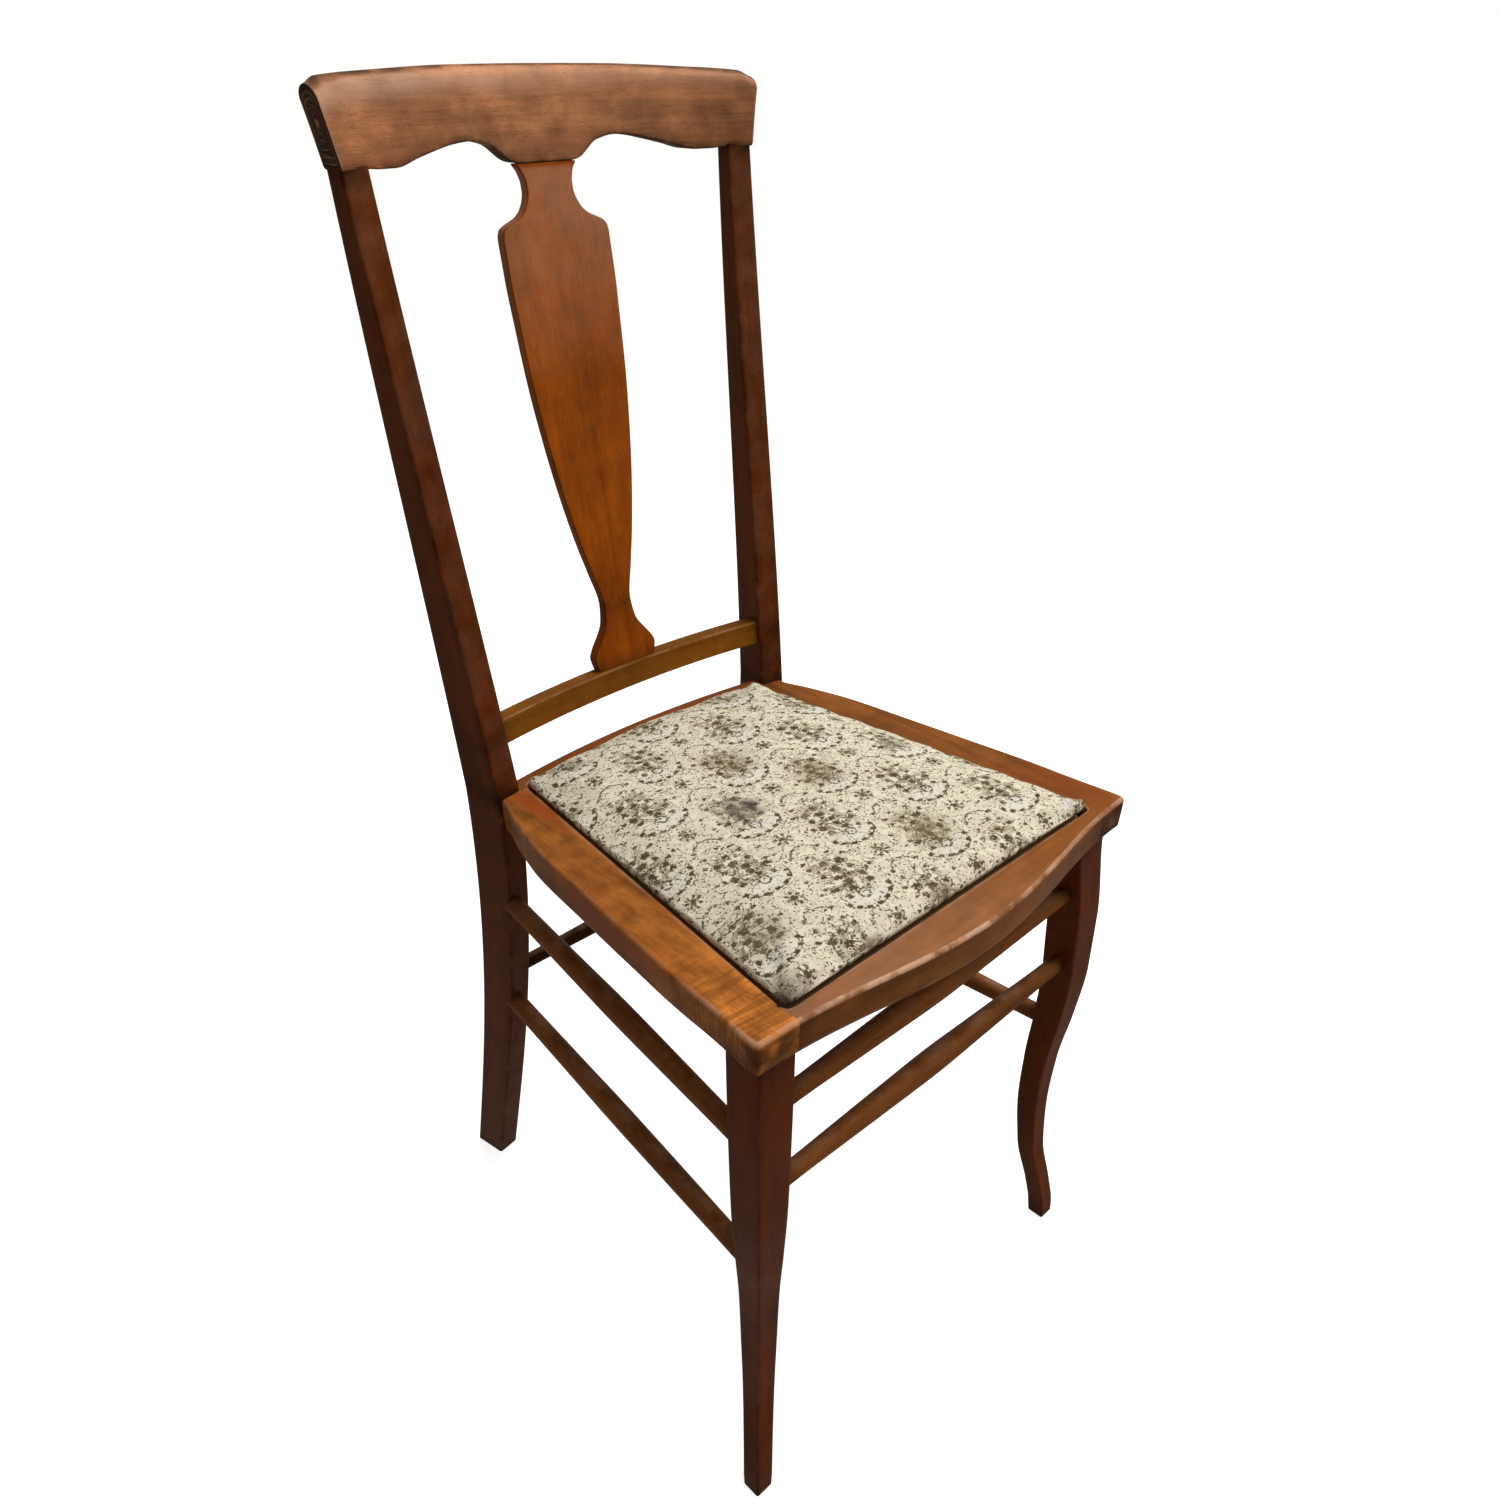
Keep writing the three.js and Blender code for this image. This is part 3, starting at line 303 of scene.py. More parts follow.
def through(stations, at):
    """Curve through stations of place and value that never overshoots them.

    Between two stations the value eases from one to the other, and each station's slope, the
    harmonic mean of the rises beside it or 0 at a turn, is blended in on both sides.
    """
    place, value = np.array(stations, float).T
    rise = np.diff(value) / np.diff(place)
    slope = np.zeros(len(place))
    agree = rise[:-1] * rise[1:] > 0
    total = np.where(agree, rise[:-1] + rise[1:], 1)
    slope[1:-1] = np.where(agree, 2 * rise[:-1] * rise[1:] / total, 0)
    after = np.clip(np.searchsorted(place, at), 1, len(place) - 1)
    span = place[after] - place[after - 1]
    t = np.clip((at - place[after - 1]) / span, 0, 1)
    ease = t * t * (3 - 2 * t)
    leave = slope[after - 1] * span * t * (1 - t) ** 2
    arrive = slope[after] * span * t * t * (1 - t)
    return value[after - 1] * (1 - ease) + value[after] * ease + leave - arrive


def series(at, shares):
    """Sum of the shares times the first, second and further powers of the place."""
    return sum(s * at ** (k + 1) for k, s in enumerate(shares))


def mix(low, high, at):
    """Straight line from low at 0 to high at 1."""
    return low + (high - low) * at


def rounded_section(width, depth, radius, arc=5, side=6):
    """Section round a rectangle: four quarter circles joined by straight sides.

    Width and depth are arrays, one row each. Gives rows of points across and deep from the
    middle, and how far each point is on an arris, from 0 to 1.
    """
    turns = np.linspace(0, np.pi / 2, arc + 1)
    signs = [(1, 1), (-1, 1), (-1, -1), (1, -1)]
    arcs = []
    for k, (sx, sy) in enumerate(signs):
        turn = turns + k * np.pi / 2
        x = sx * (width[:, None] / 2 - radius) + radius * np.cos(turn)
        y = sy * (depth[:, None] / 2 - radius) + radius * np.sin(turn)
        arcs.append(np.stack([x, y], -1))
    parts, wear = [], []
    between = np.linspace(0, 1, side + 1)[1:-1, None]
    for k in range(4):
        start, end = arcs[k][:, -1:, :], arcs[(k + 1) % 4][:, :1, :]
        parts += [arcs[k], start + (end - start) * between]
        wear += [np.sin(2 * turns), np.zeros(side - 1)]
    return np.concatenate(parts, 1), np.concatenate(wear)


def skin_rows(points, grain, wear, grime=0.0):
    """Rows of points with their place in the grain, wear and grime beside them; the wear also
    paints highlights, the grime also paints shade, and grime below 0 paints sheen.
    """
    shape = points.shape[:2]
    wear, grime = (np.broadcast_to(v, shape)[..., None] for v in (wear, grime))
    return np.concatenate([points, grain, wear, grime], -1)


def soft_ends(rows, radius, steps=4, top=True):
    """Rows whose ends, or whose first end alone, are rounded over a radius and drawn in flat.

    Each end row moves back by the radius, and follows a quarter circle: it shrinks towards its
    middle by the radius times 1 minus the cosine while it comes forward by the sine.
    """

    def end(last, before):
        middle = last[:, :3].mean(0)
        out = middle - before[:, :3].mean(0)
        out /= np.linalg.norm(out)
        reach = np.linalg.norm(last[:, :3] - middle, axis=1)[:, None]
        made = []
        for turn in np.linspace(0, np.pi / 2, steps + 1):
            keep = 1 - radius * (1 - np.cos(turn)) / reach
            row = last.copy()
            row[:, :3] = middle + (last[:, :3] - middle) * keep + out * radius * (np.sin(turn) - 1)
            row[:, 4:6] = last[:, 4:6] * keep
            row[:, 6] = np.maximum(last[:, 6], np.sin(2 * turn))
            made.append(row)
        for keep in (0.7, 0.4, 0.15):
            row = made[steps].copy()
            row[:, :3] = middle + (row[:, :3] - middle) * keep
            row[:, 4:6] *= keep
            row[:, 6] = 0
            made.append(row)
        return made

    first = end(rows[0], rows[2])[::-1]
    last = end(rows[-1], rows[-3]) if top else rows[-1:]
    return np.concatenate([np.array(first), rows[1:-1], np.array(last)])


def add_skin(name, rows, ends="fan"):
    """Closed skin over rows of as many points each.

    Neighbouring rows are joined by four-sided faces, and each end closes on a middle point
    (fan) or in one face (flat). The faces are turned to point outwards by the solid's volume.
    """
    count, round_ = rows.shape[:2]
    flat = rows.reshape(-1, rows.shape[2])
    here = np.arange(round_)
    after = (here + 1) % round_
    base = (np.arange(count - 1) * round_)[:, None]
    quads = np.stack([base + here, base + after, base + after + round_, base + here + round_], -1)
    quads = quads.reshape(-1, 4)
    top = (count - 1) * round_
    if ends == "fan":
        flat = np.vstack([flat, rows[0].mean(0), rows[-1].mean(0)])
        low, high = len(flat) - 2, len(flat) - 1
        fans = [
            np.stack([np.full(round_, low), after, here], -1),
            np.stack([np.full(round_, high), top + here, top + after], -1),
        ]
        others = np.concatenate(fans).tolist()
    else:
        others = [here[::-1].tolist(), (top + here).tolist()]
    points = flat[:, :3]
    a, b, c, d = (points[quads[:, k]] for k in range(4))
    volume = (a * np.cross(b, c)).sum() + (a * np.cross(c, d)).sum()
    faces = quads.tolist() + others
    if volume < 0:
        faces = [face[::-1] for face in faces]
    mesh = bpy.data.meshes.new(name)
    mesh.from_pydata(points, [], faces)
    write_attributes(mesh, flat[:, 3:6], flat[:, 6], flat[:, 7])
    mesh.shade_smooth()
    mesh.set_sharp_from_angle(angle=np.radians(42))
    piece = bpy.data.objects.new(name, mesh)
    bpy.context.scene.collection.objects.link(piece)
    return piece


def write_attributes(mesh, grain, wear, grime):
    """Stores each point's place in the grain, its wear with painted highlights and its grime with
    painted shade and sheen, for the wood's material.
    """
    spot = mesh.attributes.new("grain_at", "FLOAT_VECTOR", "POINT")
    spot.data.foreach_set("vector", np.ascontiguousarray(grain, np.float32).ravel())
    for name, values in (("wear", wear), ("grime", grime)):
        spot = mesh.attributes.new(name, "FLOAT", "POINT")
        spot.data.foreach_set("value", np.ascontiguousarray(values, np.float32))


def near(at, place, reach):
    """1 at a place, falling to 0 at a distance."""
    return np.clip(1 - np.abs(at - place) / reach, 0, 1) ** 2


def wooden(piece, node, material, slot):
    """Puts a piece in the place of a node, on the chair's frame, with its wood."""
    piece.data.materials.append(material)
    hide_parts(node)
    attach(piece, FRAME_BODY)


def flipped(rows):
    """Mirror image of rows across the chair's middle, from another part of the grain."""
    other = rows.copy()
    other[..., 0] *= -1
    other[..., 3] += MIRROR_SHIFT
    return other


def line_depth(context):
    """Y of the line across the seat that depths are counted from."""
    sizes = context.scene.chair_seat_frame
    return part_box("seat_rail_front")[0].y + sizes.front + sizes.bow


def post_place(context, height):
    """Outer front corner, directions inwards and back, width and depth of a post at heights.

    Above the seat the post leans out and back by power series of the height's share, and below
    it the foot draws in evenly and sweeps back by another series. Its sides change evenly.
    """
    seat, back = context.scene.chair_seat_frame, context.scene.chair_back
    above = height >= seat.height
    up = (height - seat.height) / (back.post_top - seat.height)
    down = (seat.height - height) / seat.height
    at = np.where(above, up, down)
    width, depth, turn = (
        mix(at_seat, np.where(above, at_top, at_foot), at)
        for at_seat, at_top, at_foot in (POST_WIDTH, POST_DEPTH, POST_TURN)
    )
    turn = np.radians(turn)
    x = back.post_outer + np.where(
        above, back.post_spread * series(up, POST_SPREAD), -back.foot_draw * down
    )
    y = back.post_front + np.where(
        above, back.post_rake * series(up, POST_RAKE), back.foot_sweep * series(down, FOOT_SWEEP)
    )
    corner = np.stack([x, y + line_depth(context), height], -1)
    level = np.zeros_like(turn)
    inward = np.stack([-np.cos(turn), np.sin(turn), level], -1)
    backward = np.stack([np.sin(turn), np.cos(turn), level], -1)
    return corner, inward, backward, width, depth


def post_middle(context, height):
    """Middle of a post's section at a height."""
    corner, inward, backward, width, depth = post_place(context, np.array([height]))
    return (corner + inward * width[:, None] / 2 + backward * depth[:, None] / 2)[0]


def leg_middle(context, height):
    """Middle of a front leg at heights: its outer faces follow the leg's curve in both ways."""
    seat, legs = context.scene.chair_seat_frame, context.scene.chair_legs
    top = seat.height - seat.depth + seat.lift - 0.3 * MM
    side = legs.side * through(LEG_SIDE, height / top)
    out = legs.curve * through(LEG_OUT, height / top) - side / 2
    x = seat.front_half - legs.inset_side + out
    y = line_depth(context) - (seat.front - legs.inset_front + out)
    return np.stack([x, y, height + 0 * x], -1)


def crest_front(context, x, z):
    """Depth of the crest rail's front: a bow of the second power across, leaning back upwards."""
    back = context.scene.chair_back
    end = line_depth(context) + back.post_front + back.post_rake - back.crest_forward
    half = back.post_outer + back.post_spread
    return end + back.crest_bow * (1 - (x / half) ** 2) + 0.15 * (z - back.post_top)


def opening_edge(context, spare=0.0, steps=12, radius=None):
    """Right half of the seat opening's outline from its front middle to its back middle.

    Straight front and sides, a bow at the back through a point at three quarters of its rise,
    and corners rounded by curves of the second power.
    """
    seat = context.scene.chair_seat_frame
    front, back = -seat.open_front + spare, seat.open_back - spare

    def side(y):
        at = (y + seat.open_front) / (seat.open_front + seat.open_back)
        return mix(seat.open_front_half, seat.open_back_half, at) - spare

    near_corner = np.array([side(front), front])
    far_corner = np.array([side(back), back])
    middle = np.array([0, back + seat.open_bow])
    bend = np.array([far_corner[0] / 2, back + seat.open_bow * 0.75])

    def rounded(corner, before, after):
        """A curve of the second power from a reach before the corner to a reach after it."""
        t = np.linspace(0, 1, steps)[:, None]
        reach = radius or seat.open_corner
        start = corner + (before - corner) / np.linalg.norm(before - corner) * reach
        end = corner + (after - corner) / np.linalg.norm(after - corner) * reach
        return (1 - t) ** 2 * start + 2 * t * (1 - t) * corner + t**2 * end

    start = np.array([0, front])
    t = np.linspace(0, 1, 14)[:, None]
    first = rounded(near_corner, start, far_corner)
    second = rounded(far_corner, near_corner, bend)
    pull = bend + [0, seat.open_bow * 0.06]
    bow = (1 - t) ** 2 * second[-1] + 2 * t * (1 - t) * pull + t**2 * middle
    return np.concatenate(
        [mix(start, first[0], t)[:-1], first, mix(first[-1], second[0], t)[1:-1], second, bow[1:]]
    )


def opening_ring(context, spare, *rounding):
    """The opening's whole outline, inside by a spare: the right half and its mirror image."""
    half = opening_edge(context, spare, *rounding)
    return np.concatenate([half, (half * [-1, 1])[-2:0:-1]])


def drawn_in(ring, keep):
    """A ring drawn towards the opening's middle, which keeps a share of each point's way out."""
    return OPENING_MIDDLE + (ring - OPENING_MIDDLE) * keep


def resample(points, count):
    """As many points spaced evenly along a line of points."""
    step = np.concatenate([[0], np.cumsum(np.linalg.norm(np.diff(points, axis=0), axis=1))])
    at = np.linspace(0, step[-1], count)
    return np.stack([np.interp(at, step, points[:, k]) for k in range(points.shape[1])], -1)


def sideways(points, toward):
    """Unit vectors square to a line in plan, on the side of the given points."""
    along = np.gradient(points, axis=0)
    square = np.stack([-along[:, 1], along[:, 0]], -1)
    square /= np.linalg.norm(square, axis=1)[:, None]
    return square * np.sign(((toward - points) * square).sum())


def rail_rows(context, outer, inner, bottom, grain_axis, wear_along, grime=0.0):
    """Rows of a seat rail between its outer and inner edges in plan.

    The section runs up the rebate's wall, over a small arris, across the top, over the outer
    arris, down a side that draws in towards the bottom, under, and back over the ledge.
    """
    seat = context.scene.chair_seat_frame
    out, into = sideways(outer, 2 * outer - inner), sideways(inner, outer)
    top, small, large, foot = seat.height, 1.1 * MM, seat.top_arris, 1.4 * MM
    ledge_top = top - seat.rebate
    columns, wear = [], []

    def column(plan, z, worn_and_highlight=0.0):
        columns.append(np.concatenate([plan, np.broadcast_to(z, len(plan))[:, None]], 1))
        wear.append(np.broadcast_to(worn_and_highlight, len(plan)))

    for at in np.linspace(0, 1, 5)[:-1]:
        column(inner, mix(ledge_top, top - small, at))
    for turn in np.linspace(0, np.pi / 2, 4):
        column(inner + into * small * (1 - np.cos(turn)), top - small + small * np.sin(turn), 0.35)
    start, end = inner + into * small, outer - out * large
    for at in np.linspace(0, 1, 12)[1:-1]:
        column(mix(start, end, at), top)
    for turn in np.linspace(0, np.pi / 2, 8):
        column(outer - out * large * (1 - np.sin(turn)), top - large + large * np.cos(turn),
               np.clip(np.sin(2 * turn), 0, 1) ** 0.3 * wear_along)
    drop = seat.depth
    for at in np.linspace(0, 1, 14)[1:]:
        z = mix(top - large, bottom + foot, at)
        inset = seat.edge_inset * through(EDGE_INSET, (z - top + drop) / drop)
        column(outer - out * inset[:, None], z, 0.25 * near(at, 1, 0.2) * wear_along)
    low = seat.edge_inset * through(EDGE_INSET, (bottom + foot - top + drop) / drop)[:, None]
    for turn in np.linspace(0, np.pi / 2, 5)[1:]:
        column(outer - out * (low + foot * (1 - np.cos(turn))), bottom + foot * (1 - np.sin(turn)),
               np.sin(2 * turn) * wear_along * 0.8)
    well = inner - into * seat.ledge
    for at in np.linspace(0, 1, 6)[1:]:
        column(mix(outer - out * (low + foot), well, at), bottom)
    for at in (0.5, 1):
        column(well, mix(bottom, ledge_top, at))
    column(mix(well, inner, 0.5), ledge_top)
    plan = np.stack(columns, 1)
    points = plan + [0, line_depth(context), 0]
    order = {"x": [0, 1, 2], "y": [1, 0, 2]}[grain_axis]
    # The caller's grime darkens only the faces below the top arris: dirt at the joints, and near
    # the front corners painted shade as well. The bottom edge is made darker too.
    side = points[..., 2] < top - large
    grime = np.broadcast_to(grime, len(outer))[:, None] * side
    grime = grime + 0.4 * near(points[..., 2], bottom[:, None], 4 * MM)
    return skin_rows(points, plan[..., order], np.stack(wear, 1), grime)


# Materials


class Socket:
    """One output of a material's nodes. Arithmetic on it adds Math nodes."""

    def __init__(self, paint, socket):
        self.paint, self.socket = paint, socket

    def maths(self, operation, first, second):
        return self.paint.add("ShaderNodeMath", {"operation": operation}, {0: first, 1: second})

    def __add__(self, other):
        return self.maths("ADD", self, other)

    def __sub__(self, other):
        return self.maths("SUBTRACT", self, other)

    def __mul__(self, other):
        return self.maths("MULTIPLY", self, other)

    def __truediv__(self, other):
        return self.maths("DIVIDE", self, other)

    def __pow__(self, other):
        return self.maths("POWER", self, other)

    def __rsub__(self, other):
        return self.maths("SUBTRACT", other, self)

    def __rtruediv__(self, other):
        return self.maths("DIVIDE", other, self)

    def __abs__(self):
        return self.of("ABSOLUTE")

    def of(self, operation, other=0.0):
        """A Math node of this output: a sine, a sign, the larger of two, and the like."""
        return self.maths(operation, self, other)

    __radd__, __rmul__ = __add__, __mul__


class Paint:
    """A material and the means to add nodes to it."""

    def __init__(self, name):
        self.material = bpy.data.materials.new(name)
        self.material.use_nodes = True
        self.tree = self.material.node_tree
        self.tree.nodes.clear()

    def add(self, kind, settings=None, inputs=None, out=0):
        """Adds a node with its settings, then the values or links of its sockets."""
        node = self.tree.nodes.new(kind)
        for key, value in (settings or {}).items():
            if key == "stops":
                stops = node.color_ramp.elements
                while len(stops) < len(value):
                    stops.new(0.5)
                for stop, (at, shade) in zip(stops, value):
                    stop.position, stop.color = at, (*shade, 1)
            else:
                setattr(node, key, value)
        for key, value in (inputs or {}).items():
            if isinstance(value, Socket):
                self.tree.links.new(value.socket, node.inputs[key])
            else:
                node.inputs[key].default_value = value
        return Socket(self, node.outputs[out]) if node.outputs else None

    def attribute(self, name, out="Fac"):
        return self.add("ShaderNodeAttribute", {"attribute_name": name}, out=out)

    def object_place(self):
        return self.add("ShaderNodeTexCoord", out="Object")

    def vector(self, operation, first, second):
        return self.add("ShaderNodeVectorMath", {"operation": operation}, {0: first, 1: second})

    def parts(self, vector):
        node = self.add("ShaderNodeSeparateXYZ", inputs={0: vector}).socket.node
        return [Socket(self, node.outputs[k]) for k in range(3)]

    def join(self, x, y, z=0.0):
        return self.add("ShaderNodeCombineXYZ", inputs={0: x, 1: y, 2: z})

    def noise(self, vector, scale=1.0, detail=3.0, roughness=0.5, out=0):
        inputs = {"Vector": vector, "Scale": scale, "Detail": detail, "Roughness": roughness}
        return self.add("ShaderNodeTexNoise", {"normalize": True}, inputs, out)

    def smooth(self, value, low, high):
        """0 below low and 1 above high, or the other way round, with a soft step between."""
        return self.add(
            "ShaderNodeMapRange",
            {"interpolation_type": "SMOOTHSTEP"},
            {"Value": value, "From Min": low, "From Max": high, "To Min": 0.0, "To Max": 1.0},
        )

    def blend(self, factor, first, second):
        """Colour between the first at 0 and the second at 1."""
        first, second = (c if isinstance(c, Socket) else (*c, 1) for c in (first, second))
        return self.add("ShaderNodeMix", {"data_type": "RGBA"}, {0: factor, 6: first, 7: second}, 2)

    def bump(self, height, distance, strength=1.0):
        inputs = {"Height": height, "Distance": distance, "Strength": strength}
        return self.add("ShaderNodeBump", {}, inputs)

    def finish(self, inputs):
        """Feeds the surface shader and the output."""
        shader = self.add("ShaderNodeBsdfPrincipled", {}, inputs)
        self.add("ShaderNodeOutputMaterial", {}, {"Surface": shader})
        return self.material


def scaled(shade, factor):
    """A colour made darker or lighter by a factor."""
    return tuple(min(c * factor, 1.0) for c in shade)


def polished_wood(
    context, name, finish, figure, patches, red, wear, strength=1.0, speckle=0.0, ribbon=0.0
):
    """Old polished wood: long streaks, pores, figure across the grain, rubbed arrises with painted
    highlights on them, grime, and painted shade on some faces.

    The finish names the wood's colour, and the strength makes it darker. Grime below 0 paints a
    pale haze in the worn colour:
    painted sheen on the crest's and the front rail's tops, and a paler top on the splat. Every
    texture reads the place in the grain that the piece carries, stretched along the grain. Wood
    with ribbons is a mirrored side rail's: dark ribbons cross its grain at the front end, and it is
    paler there and at the back.
    """
    tones = context.scene.chair_finishes
    shade = scaled(tuple(getattr(tones, finish)), strength)
    paint = Paint(name)
    grain = paint.attribute("grain_at", "Vector")
    waver = paint.noise(grain, 9, 2, out=1)
    place = paint.vector("ADD", grain, paint.vector("MULTIPLY", waver, (0.03, 0.006, 0.006)))

    def stretched(along, across, detail, roughness=0.55):
        pulled = paint.vector("MULTIPLY", place, (along, across, across))
        return paint.noise(pulled, 1, detail, roughness)

    streak, fine, pore = stretched(3.2, 85, 4), stretched(16, 620, 3), stretched(110, 2300, 1)
    curl, patch, mottle = stretched(70, 13, 3), stretched(9, 17, 2), stretched(45, 80, 3)
    tone = (
        0.5 + (streak - 0.5) * 0.9 + (fine - 0.5) * 0.45 + (curl - 0.5) * (1.6 * figure)
        + (patch - 0.5) * (1.3 * patches) + (mottle - 0.5) * (0.9 * patches)
    )
    wood = paint.add(
        "ShaderNodeValToRGB",
        {"stops": [(at, scaled(shade, factor)) for at, factor in WOOD_STOPS]},
        {0: tone},
    )
    warm = paint.smooth(stretched(6, 26, 2), 0.5, 0.72) * red
    wood = paint.blend(warm, wood, (shade[0] * 1.02, shade[1] * 0.62, shade[2] * 0.55))
    if ribbon:
        bands = stretched(240, 16, 2)
        along = paint.parts(grain)[0] - MIRROR_SHIFT
        zone = paint.smooth(along, -0.06, -0.16)
        wood = paint.blend(zone, wood, paint.vector("MULTIPLY", wood, (2.1, 2.1, 2.0)))
        crossing = paint.smooth(bands, 0.44, 0.58) * zone
        wood = paint.blend(crossing * ribbon, wood, scaled(shade, 0.75))
        pale = paint.vector("MULTIPLY", wood, (1.12, 1.15, 1.1))
        wood = paint.blend(paint.smooth(along, 0.0, 0.09), wood, pale)
    pores = paint.smooth(pore, 0.6, 0.7)
    wood = paint.blend(pores * 0.5, wood, scaled(shade, 0.3))
    if speckle:
        pits = paint.smooth(paint.noise(grain, 900, 2, 0.6), 0.56, 0.68)
        wood = paint.blend(pits * speckle, wood, scaled(shade, 0.4))
    # Rubbed arrises show the worn colour; the wear values also paint highlights in it along the
    # arrises and tops.
    edge_breakup = paint.smooth(paint.noise(grain, 42, 4, 0.65), 0.36, 0.62)
    edge_tone = paint.attribute("wear") * edge_breakup * wear
    wood = paint.blend(edge_tone * 0.8, wood, tuple(tones.worn_and_highlight))
    # Grime below 0 paints a pale haze in the worn colour: painted sheen on the crest's and the
    # front rail's tops, and a paler top on the splat.
    dull = paint.noise(grain, 30, 4, 0.6)
    haze_and_sheen = paint.attribute("grime") * dull * -1.6
    wood = paint.blend(haze_and_sheen, wood, tuple(tones.worn_and_highlight))
    # Grime above 0 darkens towards the grime colour: dirt at the joints and ends, and painted shade
    # on some sides and undersides.
    patchy = paint.smooth(paint.noise(grain, 60, 3), 0.2, 0.6)
    dirt_and_shade = paint.attribute("grime").of("MAXIMUM") * patchy
    wood = paint.blend(dirt_and_shade * 0.9, wood, tuple(tones.grime))
    height = fine * 0.35 + streak * 0.3 - pores * 0.55 + dull * 0.35
    return paint.finish({
        "Base Color": wood,
        "Roughness": tones.roughness + (dull - 0.5) * 0.22 + edge_tone * 0.16 + dirt_and_shade * 0.2,
        "Coat Weight": (1 - edge_tone) * tones.coat,
        "Coat Roughness": 0.18,
        "Specular IOR Level": 0.13,
        "Specular Tint": (1.0, 0.55, 0.18, 1.0),
        "Normal": paint.bump(height, 0.35 * MM, 0.5),
    })


def bare_wood(context):
    """Unpolished pale wood of the hidden pieces, with streaks along the object's length."""
    tones = context.scene.chair_finishes
    paint = Paint("bare_wood")
    place = paint.object_place()
    streak = paint.noise(paint.vector("MULTIPLY", place, (5, 160, 160)), 1, 4, 0.6)
    fine = paint.noise(paint.vector("MULTIPLY", place, (30, 900, 900)), 1, 2)
    stain = paint.smooth(paint.noise(place, 22, 3), 0.4, 0.75)
    shade = tuple(tones.bare)
    wood = paint.blend(streak, scaled(shade, 0.55), scaled(shade, 1.25))
    wood = paint.blend(stain * 0.45, wood, scaled(shade, 0.35))
    return paint.finish({
        "Base Color": wood, "Roughness": 0.62 + fine * 0.25,
        "Normal": paint.bump(fine + streak, 0.4 * MM, 0.5),
    })


def woven(name, shade, pitch, contrast):
    """Plain weave: threads one over the other, each a rounded wave at right angles to the next."""
    paint = Paint(name)
    place = paint.object_place()
    waver = paint.noise(place, 60, 2, out=1)
    place = paint.vector("ADD", place, paint.vector("MULTIPLY", waver, (pitch * 0.8,) * 3))
    x, y, _ = paint.parts(place)
    warp, weft = (x * (np.pi / pitch)).of("SINE"), (y * (np.pi / pitch)).of("SINE")
    height = abs(warp) * 0.5 + abs(weft) * 0.5 + warp * weft * 0.3
    yarn = paint.noise(paint.vector("MULTIPLY", place, (900, 300, 300)), 1, 3)
    # The raised threads are painted lighter and the hollows darker: painted shade of the weave's
    # relief, besides the bump.
    tone = height * contrast + yarn * 0.5
    cloth = paint.blend(tone, scaled(shade, 0.35), scaled(shade, 1.35))
    return paint.finish({
        "Base Color": cloth, "Roughness": 0.85 + yarn * 0.1,
        "Normal": paint.bump(height, pitch * 0.3, 0.8),
    })


def steel(context):
    """Dull steel with brushed scratches and spots of rust."""
    tones = context.scene.chair_finishes
    paint = Paint("dull_steel")
    place = paint.object_place()
    scratch = paint.noise(paint.vector("MULTIPLY", place, (600, 4000, 600)), 1, 3)
    rust = paint.smooth(paint.noise(place, 400, 3), 0.5, 0.68)
    shade = tuple(tones.steel)
    bright = paint.blend(scratch, scaled(shade, 0.6), shade)
    return paint.finish({
        "Base Color": paint.blend(rust * 0.7, bright, linear(RUST)),
        "Metallic": 1 - rust * 0.8,
        "Roughness": 0.3 + scratch * 0.2 + rust * 0.3,
        "Normal": paint.bump(scratch, 0.1 * MM, 0.3),
    })


